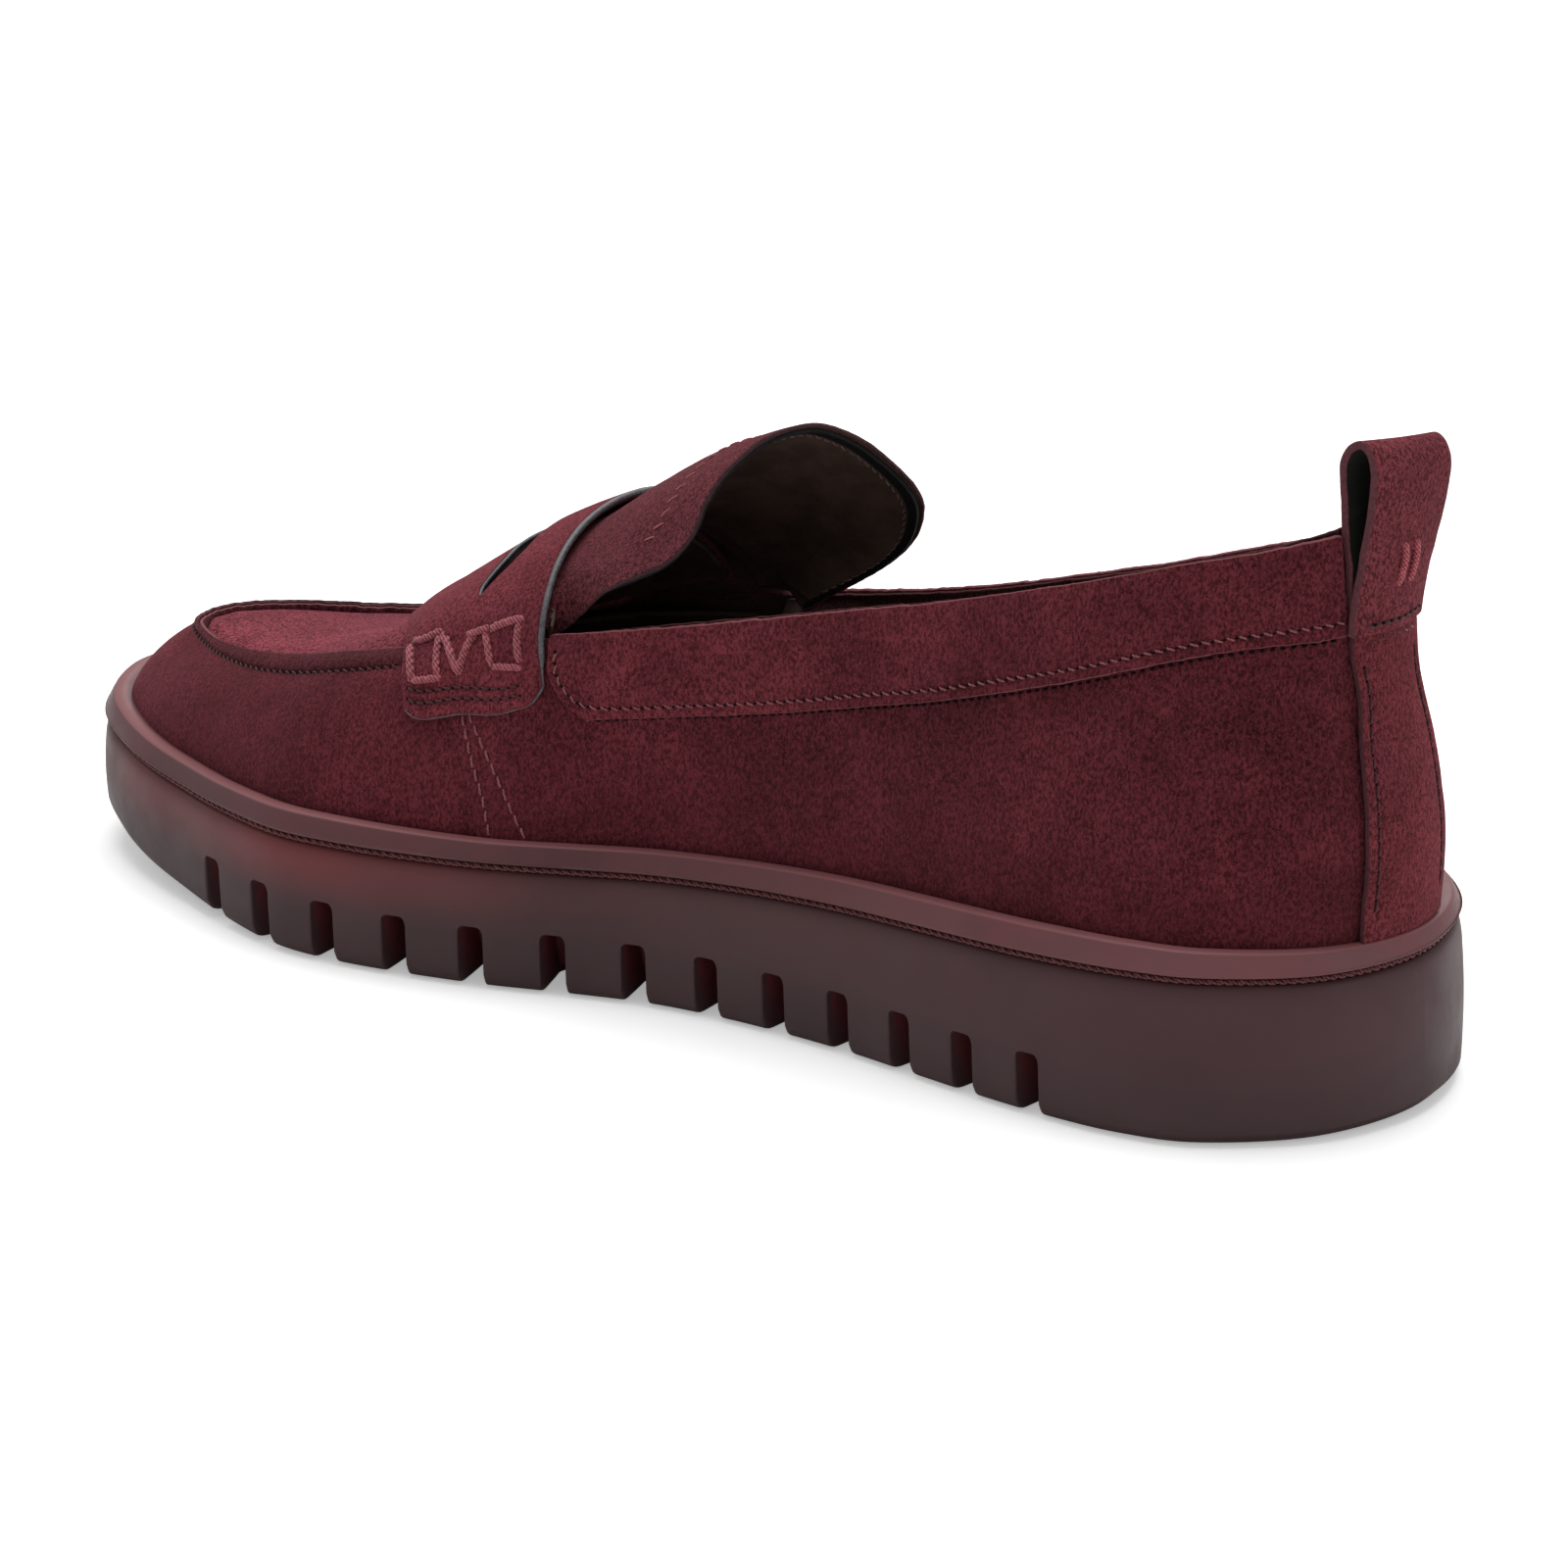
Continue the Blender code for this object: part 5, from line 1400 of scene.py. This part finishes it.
def strap_leather(lines):
    def relief(u, v, points):
        # the front edge is skived thin and pressed down on to the apron
        over = step((.62 - np.abs(u)) / .03)
        return (uneven(points, (.13, 14, 11), (.08, 5, 12))
                - .3 * (1 - step((v - .035) / .016)) - 1.1 * over * np.exp(-(v / .13) ** 2))

    u_steps = np.concatenate([np.linspace(-1, -.62, 54)[:-1], np.linspace(-.62, .62, 150)[:-1],
                              np.linspace(.62, 1, 54)])
    v_steps = np.concatenate([np.linspace(0, .08, 5)[:-1], np.linspace(.08, .84, 40)[:-1],
                              np.linspace(.84, 1, 14)])
    ob = skin("strap_leather", strap_swung, u_steps, v_steps, STRAP_OUT, STRAP, "suede_strap",
              "lining", relief=relief, rows=[points for points, _ in lines.values()],
              crease=(.24, .6), bulge=.4, square=.7)
    # the slit's cut walls take the cutter's near-black material: painted shade inside the slit
    cutter = skin("slit_tool", slit_lens, np.linspace(-SLIT_END, SLIT_END, 81),
                  np.linspace(-1, 1, 5), STRAP_OUT + 1.4, STRAP + 2.1, "slit_shade_leather", bulge=.02,
                  fray=0)
    cut = ob.modifiers.new("slit", "BOOLEAN")
    cut.operation = "DIFFERENCE"
    cut.object = cutter
    cut.solver = "EXACT"
    cut.material_mode = "TRANSFER"
    depsgraph = bpy.context.evaluated_depsgraph_get()
    mesh = bpy.data.meshes.new_from_object(ob.evaluated_get(depsgraph))
    ob.modifiers.clear()
    ob.data = mesh
    bpy.data.objects.remove(cutter, do_unlink=True)
    mesh.shade_smooth()
    mesh.set_sharp_from_angle(angle=math.radians(50))
    place(ob, "suede", "saddle_strap")


def strap_stitching(lines):
    for name, line in lines.items():
        sew("strap_stitches_" + name, line, 1.95, 1.45, .20, "thread_dark", margin=.6)
        prick("strap_pricks_" + name, line, 1.95, radius=.26, margin=.6)


def slit():
    """Backing leather behind the slit, near black as painted shade inside the slit, and a fine
    turned edge round it.
    """
    place(skin("slit_backing_leather", slit_back, np.linspace(-.53, .53, 90),
               np.linspace(-1, 1, 7), .40, .45, "slit_shade_leather", bulge=.15, fray=.02),
          "edge", "slot_backing")
    u = np.linspace(-SLIT_END, SLIT_END, 120)
    v = np.ones(120)
    line = line_on(slit_lens, np.concatenate([u, u[::-1]]), np.concatenate([v, -v]),
                   STRAP_OUT - .30)
    line = [np.vstack([part, part[:1]]) for part in line]
    points, normals = resample(line, np.linspace(0, arc(line[0])[-1], 420))
    place(tubes("slit_rim", [(points, normals, .34)], "edge", sides=10), "edge")


def strap_piping():
    """Piping round the strap's rear edge, thinning to an edge line along each foot."""
    out = STRAP_OUT - .62
    foot = np.linspace(.02, 1, 90)[:-1]
    over = np.linspace(-1, 1, 300)
    ones = np.ones_like(foot)
    u = np.concatenate([-ones, over, ones])
    v = np.concatenate([foot, rear_edge(over), np.linspace(1, .02, 90)[1:]])
    radius = np.concatenate([ones * .28, .27 + .34 * step((.84 - np.abs(over)) / .022),
                             ones * .28])
    points = strap(u, v, out)
    normals = line_on(strap, u * .999, np.clip(v, .03, .97), out)[1]
    lengths = arc(points)
    where = np.linspace(0, lengths[-1], 700)
    points, normals = resample((points, normals), where)
    u, v, radius = (np.interp(where, lengths, values) for values in (u, v, radius))
    for _ in range(6):
        points[1:-1] = (points[:-2] + 2 * points[1:-1] + points[2:]) / 4
    away = np.cross(unit(np.gradient(points, axis=0)), normals)
    inner = strap(u * .93, .5 + (v - .5) * .9, out)
    away = unit(away * np.sign((away * (points - inner)).sum(-1, keepdims=True)))
    radius = radius * (1 + uneven(points, (.035, 1.3, 21), (.03, .8, 22)))
    points = points + away * (radius * .72)[:, None] - normals * (radius * .12)[:, None]
    place(tubes("strap_piping", [(points, normals, radius)], "edge", sides=16),
          "edge", "saddle_edge_piping")


# corner work in waxed cord, a loop, a zigzag and a second loop: (u, v) of each stitch's ends
HAND_WORK = [
    ((.846, .345), (.862, .125)), ((.866, .112), (.690, .062)), ((.655, .080), (.612, .325)),
    ((.612, .292), (.850, .322)), ((.612, .318), (.836, .478)), ((.836, .474), (.622, .572)),
    ((.628, .515), (.618, .680)), ((.616, .648), (.792, .716)), ((.622, .685), (.604, .925)),
    ((.606, .888), (.780, .896)), ((.792, .722), (.812, .912))]


def hand_stitches(side, name):
    part = np.linspace(0, 1, 44)
    bow = 1 - np.abs(2 * part - 1) ** 5
    for j, ((start_u, start_v), (end_u, end_v)) in enumerate(HAND_WORK):
        u = start_u + (end_u - start_u) * part
        v = start_v + (end_v - start_v) * part
        points, normals = line_on(strap, u * side, v, STRAP_OUT)
        across = unit(np.cross(unit(np.gradient(points, axis=0)), normals))
        points = (points + normals * (-.75 + 1.1 * bow)[:, None]
                  + across * (.18 * math.sin(j * 2.3) * np.sin(part * np.pi))[:, None])
        ob = cord("hand_stitch_%s_%02d" % (name, j), (points, normals),
                  radius=.69 + .05 * math.sin(j * 1.7), material="thread_thick", plies=3,
                  twist=4.6)
        place(ob, "thread", *(["hand_stitch_" + name] if j == 0 else []))


# ---- collar --------------------------------------------------------------------------------------
# (u, v) of the stitch row along the band's lower edge and up its front end
COLLAR_ROW = np.array([
    (0.0, .125), (.2, .118), (.4, .112), (.6, .112), (.8, .112), (.93, .114), (.965, .125),
    (.982, .17), (.989, .26), (.992, .40), (.993, .60), (.993, .94)])


def collar(side, name):
    def surface(u, v, out):
        near = .74 + .20 * v
        station = near + (band_front(v) - near) * u
        low = np.where(station < 11.0, band_low(np.minimum(station, 11.0)), .592)
        return wall(on_side(station, side), low + (1.0 - low) * v, out)

    def relief(u, v, points):
        return uneven(points, (.15, 13, 31), (.07, 5, 32)) - .25 * step((v - .965) / .012)

    def row_line(out, count):
        row = curve_at(COLLAR_ROW, np.linspace(0, len(COLLAR_ROW) - 1, count))
        return line_on(surface, row[:, 0], row[:, 1], out)

    u_steps = np.concatenate([np.linspace(0, .9, 210)[:-1], np.linspace(.9, 1, 40)])
    v_steps = np.concatenate([np.linspace(0, .22, 16)[:-1], np.linspace(.22, .93, 22)[:-1],
                              np.linspace(.93, 1, 8)])
    place(skin("collar_band_leather_" + name, surface, u_steps, v_steps, OVERLAY_OUT, OVERLAY,
               "suede_band", "lining", relief=relief, rows=[row_line(OVERLAY_OUT, 900)[0][::2]],
               crease=(.30, .62), bulge=.42, fray=.3), "suede", "collar_band_" + name)
    line = row_line(OVERLAY_OUT - .16, 1600)
    sew("collar_stitches_" + name, line, 2.1, 1.35, .18, "thread_collar",
        "collar_stitching_" + name, slant=.30)
    prick("collar_pricks_" + name, line, 2.1, depth=.06)
    # painted shadow: a row of dark dots right under the band's edge
    station = np.linspace(.75, 10.9, 900)
    line = line_on(wall, on_side(station, side), band_low(station) - .016, .12)
    prick("collar_edge_shadow_dots_" + name, line, 1.75, depth=-.02, size=.52)


# ---- backstay and tab root -----------------------------------------------------------------------
def back_half(rise):
    """Half width of the backstay in stations."""
    return (backstay_half(rise) + .018 + .05 * np.exp(-((rise - .31) / .15) ** 2)
            - .05 * np.exp(-(rise / .12) ** 2) - .09 * np.exp(-((rise - .59) / .09) ** 2)
            - .03 * step((rise - .62) / .03))


def back_surface(u, rise, out):
    return wall_full(np.mod(back_half(rise) * u, STATIONS), rise, out)


def backstay():
    rise = np.linspace(.085, .66, 260)
    lines = [line_on(back_surface, side * (1 - .095 / np.maximum(back_half(rise), .3)), rise,
                     OVERLAY_OUT - .14) for side in (-1, 1)]
    place(skin("backstay_leather", back_surface, np.linspace(-1, 1, 46),
               np.linspace(.03, .742, 92), OVERLAY_OUT, OVERLAY, "suede_back",
               rows=[line[0] for line in lines], crease=(.3, .6),
               relief=lambda u, v, points: uneven(points, (.16, 12, 41), (.08, 5, 42))),
          "suede", "backstay")
    for line, name, replaced in zip(lines, ("left", "right"), (["backstay_stitching"], [])):
        sew("backstay_stitches_" + name, line, 2.5, 1.9, .22, "thread_dark", *replaced)
        prick("backstay_pricks_" + name, line, 2.5, radius=.26)
    # rise, first and last u, thread and its radius
    for j, (level, start, end, thread, radius) in enumerate((
            (.712, -.84, -.30, "thread_collar", .20), (.716, -.30, .84, "thread_dark", .18))):
        u = np.linspace(start, end, 200)
        line = line_on(back_surface, u, level - .004 * (1 - u * u), OVERLAY_OUT - .10)
        sew("tab_root_stitches_%d" % j, line, 2.3, 1.5, radius, thread, slant=.3)


# ---- linings -------------------------------------------------------------------------------------
def linings():
    rises = np.concatenate([np.linspace(.04, .8, 26)[:-1], np.linspace(.8, .965, 20)])
    for name, start, end, replaced, count in (
            ("medial", 1.97, 11.8, "quarter_lining_medial", 120),
            ("lateral", STATIONS - 11.8, STATIONS - 1.97, "quarter_lining_lateral", 120),
            ("heel", -1.93, 1.93, "heel_lining", 50)):
        place(skin("collar_lining_" + name, lining_wall, np.linspace(start, end, count), rises,
                   LINING_OUT, LINING_T, "lining", bulge=.3, fray=.05,
                   relief=lambda u, v, points: uneven(points, (.12, 15, 51))),
              "lining", replaced)
    rise = np.linspace(.12, .93, 200)
    for side, name in SIDES:
        for off, tag in ((.14, "a"), (-.14, "b")):
            points, normals = line_on(lining_wall, on_side(1.95 + off + 0 * rise, side), rise,
                                      LINING_IN)
            sew("lining_stitches_%s_%s" % (name, tag), (points, -normals), 2.6, 2.0, .2,
                "thread_dark")


def collar_facing(side, name):
    rises = np.concatenate([np.linspace(.74, .96, 14)[:-1], np.linspace(.96, 1.0, 6)])
    place(skin("collar_facing_" + name,
               lambda station, rise, out: lining_wall(on_side(station, side), rise, out),
               np.linspace(.02, 11.5, 220), rises, LINING_IN - .16 + .75, .75, "suede_facing",
               bulge=.4, fray=.3, relief=lambda u, v, points: uneven(points, (.10, 8, 81))),
          "suede")


def place_tongue(ob, slot, *replaced):
    """Bake the piece's transform into its mesh and hide the CAD pieces it replaces."""
    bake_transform(ob)
    if replaced:
        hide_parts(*replaced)


def tongue_pieces():
    u_steps = np.linspace(-1, 1, 170)
    place_tongue(skin("tongue_leather", tongue, u_steps, np.linspace(0, 1.0, 60), 0.0, .85,
                      "suede_tongue", "lining", bulge=.35, fray=.35,
                      relief=lambda u, v, points: uneven(points, (.18, 12, 61), (.08, 4.5, 62))),
                 "suede", "tongue")
    place_tongue(skin("tongue_lining_leather", tongue, np.linspace(-.86, .955, 170),
                      np.linspace(.10, .972, 44), -.95, .65, "lining", bulge=.25, fray=.05),
                 "lining", "tongue_lining")
    place_tongue(skin("tongue_binding", tongue, u_steps * .985, np.linspace(.952, .986, 8), -.78,
                      .95, "binding", bulge=.25, square=.8, fray=.08,
                      relief=lambda u, v, points: uneven(points, (.05, 1.4, 63))),
                 "edge", "tongue_edge_binding")
    points, normals = line_on(tongue, np.linspace(-.93, .93, 700), .936, -1.68)
    place_tongue(stitches("tongue_lining_stitches", (points, -normals), 2.1, 1.5, .17,
                          "thread_lining"), "thread")
    u = np.linspace(-.47, .40, 400)
    line = line_on(tongue, u, .74 + .02 * np.cos(u * 5), -.02)
    place_tongue(stitches("tongue_stitches", line, 2.7, 1.7, .17, "thread_pink", slant=.85,
                          jitter=.35), "thread")


# ---- pull tab ------------------------------------------------------------------------------------
def pull_tab():
    ob = skin("pull_tab_loop", tab, np.linspace(0, 1, 130), np.linspace(-1, 1, 26), TAB_T / 2,
              TAB_T, "suede_tab", "tab_inside", bulge=.25, square=.5, fray=.5,
              relief=lambda u, v, points: uneven(points, (.10, 9, 71)))
    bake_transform(ob)
    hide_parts("pull_tab")
    line = line_on(tab, np.full(200, .985), np.linspace(-.80, .86, 200), TAB_T / 2 - .08,
                   reach=1.08)
    sew("tab_hem_stitches", line, 1.9, 1.3, .24, "thread_dark", slant=.3)
    prick("tab_hem_pricks", line, 1.9, radius=.40, size=.6)
    # two short bars of cord on the outer ply
    arch = -.4 + .75 * (1 - np.linspace(-1, 1, 30) ** 4)
    for j, v in enumerate((-.16, .16)):
        points, normals = line_on(tab, np.linspace(.862, .938, 30), np.full(30, v), TAB_T / 2)
        place(cord("tab_bar_%d" % j, (points + normals * arch[:, None], normals), radius=.66,
                   material="thread_mark", plies=3, twist=2.4), "thread", body="pull_tab")


# ---- footbed -------------------------------------------------------------------------------------
SOCK_CLEAR = 6.8           # height above the feather line kept clear of the linings


def inside_lining():
    """Inset of the sock, as a function of station, that keeps it clear of the linings."""
    spacing = .25
    stations = np.arange(0, STATIONS + .01, spacing)
    points = wall(stations[:, None], np.linspace(0, .6, 61)[None, :], LINING_IN - .5)
    above = points[..., 2] - z_feather(HALF - points[..., 0])
    inset = np.where(above < SOCK_CLEAR + .6, inset_of(points, stations), -1e9).max(1)
    widest = np.array([np.interp(stations + j * spacing, stations, inset, period=STATIONS)
                       for j in (-2, -1, 0, 1, 2)]).max(0)
    return lambda station: np.interp(station, stations, widest, period=STATIONS)


def sock():
    half_ring = np.linspace(0, TOE, 131)
    station = np.concatenate([half_ring, STATIONS - half_ring[::-1][1:-1]])
    opposite = np.mod(STATIONS - station, STATIONS)
    inset = inside_lining()
    border = edge(station, inset(station))
    centre = (border + edge(opposite, inset(opposite))) / 2
    upper, lower = [], []
    for part in (1.0, .985, .955, .91, .84, .74, .6, .45, .3, .15, 0):
        flat = centre + (border - centre) * part
        z = footbed_top(flat[:, 0])
        lip = 1.1 * part ** 6 - (.55 if part == 1.0 else .12 if part == .985 else 0)
        upper.append(to_xyz(flat, z + 1.2 + lip))
        lower.append(to_xyz(flat, z + .3 + (0 if part < 1 else .1)))
    ob = sweep("footbed_sock", np.stack(upper[::-1] + lower, 1), "sock")
    # the inner rows meet along the centre line: weld them
    mesh = bmesh.new()
    mesh.from_mesh(ob.data)
    bmesh.ops.remove_doubles(mesh, verts=mesh.verts, dist=2e-6)
    bmesh.ops.dissolve_degenerate(mesh, edges=mesh.edges, dist=1e-6)
    bmesh.ops.recalc_face_normals(mesh, faces=mesh.faces)
    mesh.to_mesh(ob.data)
    mesh.free()
    ob.data.shade_smooth()
    place(ob, "lining", "footbed_cover")


def finish_cad_pieces():
    """Materials of the pieces carried over from the CAD."""
    for node, key in (("vamp_lining", "lining"), ("apron_lining", "lining"),
                      ("toe_puff", "stiffener"), ("heel_counter", "stiffener"),
                      ("midsole", "foam"), ("shank", "steel"), ("insole_board", "board"),
                      ("footbed", "foam")):
        materials = NODES[node].data.materials
        materials.clear()
        materials.append(MAT[key])
    for ob in NODES.values():
        if not ob.hide_render and not ob.data.materials:
            ob.data.materials.append(MAT["suede"])


# ---- stage, in metres ----------------------------------------------------------------------------
def floor_material():
    """Pale floor, lifted a little by emission that only the camera sees."""
    material = bpy.data.materials.new("pale_floor")
    material.use_nodes = True
    tree = material.node_tree
    inputs = tree.nodes["Principled BSDF"].inputs
    inputs["Base Color"].default_value = (.93, .93, .93, 1)
    inputs["Roughness"].default_value = .9
    inputs["Specular IOR Level"].default_value = .1
    path = tree.nodes.new("ShaderNodeLightPath")
    gain = tree.nodes.new("ShaderNodeMath")
    gain.operation = "MULTIPLY"
    gain.inputs[1].default_value = .34
    tree.links.new(path.outputs["Is Camera Ray"], gain.inputs[0])
    inputs["Emission Color"].default_value = (1, 1, 1, 1)
    tree.links.new(gain.outputs[0], inputs["Emission Strength"])
    return material


def add_floor():
    shape = bmesh.new()
    bmesh.ops.create_circle(shape, cap_ends=True, segments=96, radius=5.0)
    mesh = bpy.data.meshes.new("floor")
    shape.to_mesh(mesh)
    shape.free()
    floor = bpy.data.objects.new("floor", mesh)
    floor.location.z = -.0001
    bpy.context.scene.collection.objects.link(floor)
    mesh.materials.append(floor_material())


def area(name, at, aim, size, power):
    light = bpy.data.lights.new(name, "AREA")
    light.energy = power
    light.size = size
    ob = bpy.data.objects.new(name, light)
    ob.location = at
    ob.rotation_mode = "QUATERNION"
    ob.rotation_quaternion = (Vector(aim) - Vector(at)).to_track_quat("-Z", "Y")
    bpy.context.scene.collection.objects.link(ob)


def add_world():
    """White surroundings: soft as light, nearly full white to the camera."""
    world = bpy.data.worlds.new("studio")
    bpy.context.scene.world = world
    world.use_nodes = True
    nodes, links = world.node_tree.nodes, world.node_tree.links
    light = nodes["Background"]
    light.inputs["Color"].default_value = (1, 1, 1, 1)
    light.inputs["Strength"].default_value = .50
    path = nodes.new("ShaderNodeLightPath")
    mix = nodes.new("ShaderNodeMixShader")
    seen = nodes.new("ShaderNodeBackground")
    seen.inputs["Color"].default_value = (.985, .985, .985, 1)
    seen.inputs["Strength"].default_value = 1.0
    links.new(path.outputs["Is Camera Ray"], mix.inputs[0])
    links.new(light.outputs[0], mix.inputs[1])
    links.new(seen.outputs[0], mix.inputs[2])
    links.new(mix.outputs[0], nodes["World Output"].inputs[0])


def add_camera(aim, azimuth, elevation, distance, lens):
    """Camera looking at aim; azimuth turns from -y towards +x, angles in degrees."""
    camera = bpy.data.objects.new("camera", bpy.data.cameras.new("camera"))
    bpy.context.scene.collection.objects.link(camera)
    azimuth, elevation = math.radians(azimuth), math.radians(elevation)
    back = Vector((math.sin(azimuth) * math.cos(elevation),
                   -math.cos(azimuth) * math.cos(elevation), math.sin(elevation)))
    camera.location = Vector(aim) + back * distance
    camera.rotation_euler = back.to_track_quat("Z", "Y").to_euler()
    camera.data.lens = lens
    camera.data.sensor_width = 36
    camera.data.clip_start = .05
    camera.data.clip_end = 30
    bpy.context.scene.camera = camera


# ---- everything in order -------------------------------------------------------------------------
outsole()
rim_strip()
welt_thread()
vamp()
for piece in (quarter, seam_stitching):
    for side, name in SIDES:
        piece(side, name)
apron()
seam_roll()
apron_stitching()

strap_rows = strap_lines()
strap_leather(strap_rows)
strap_stitching(strap_rows)
slit()
strap_piping()
for piece in (hand_stitches, collar):
    for side, name in SIDES:
        piece(side, name)
backstay()
linings()
for side, name in SIDES:
    collar_facing(side, name)
tongue_pieces()
pull_tab()
sock()
finish_cad_pieces()

add_floor()
area("top_box", at=(-.15, .25, 1.3), aim=(0, 0, .03), size=1.2, power=15)
area("back_box", at=(-.6, 1.2, .9), aim=(0, 0, .05), size=.9, power=4)
area("right_box", at=(1.3, .2, .6), aim=(0.05, 0, .05), size=.8, power=1.6)
area("left_box", at=(-1.3, -.1, .7), aim=(-.05, 0, .05), size=.8, power=1.1)
add_world()
bpy.context.scene.view_settings.view_transform = "Standard"
add_camera(aim=(.0378, -.0438, .050), azimuth=37.0, elevation=19.0, distance=1.5, lens=202.2)
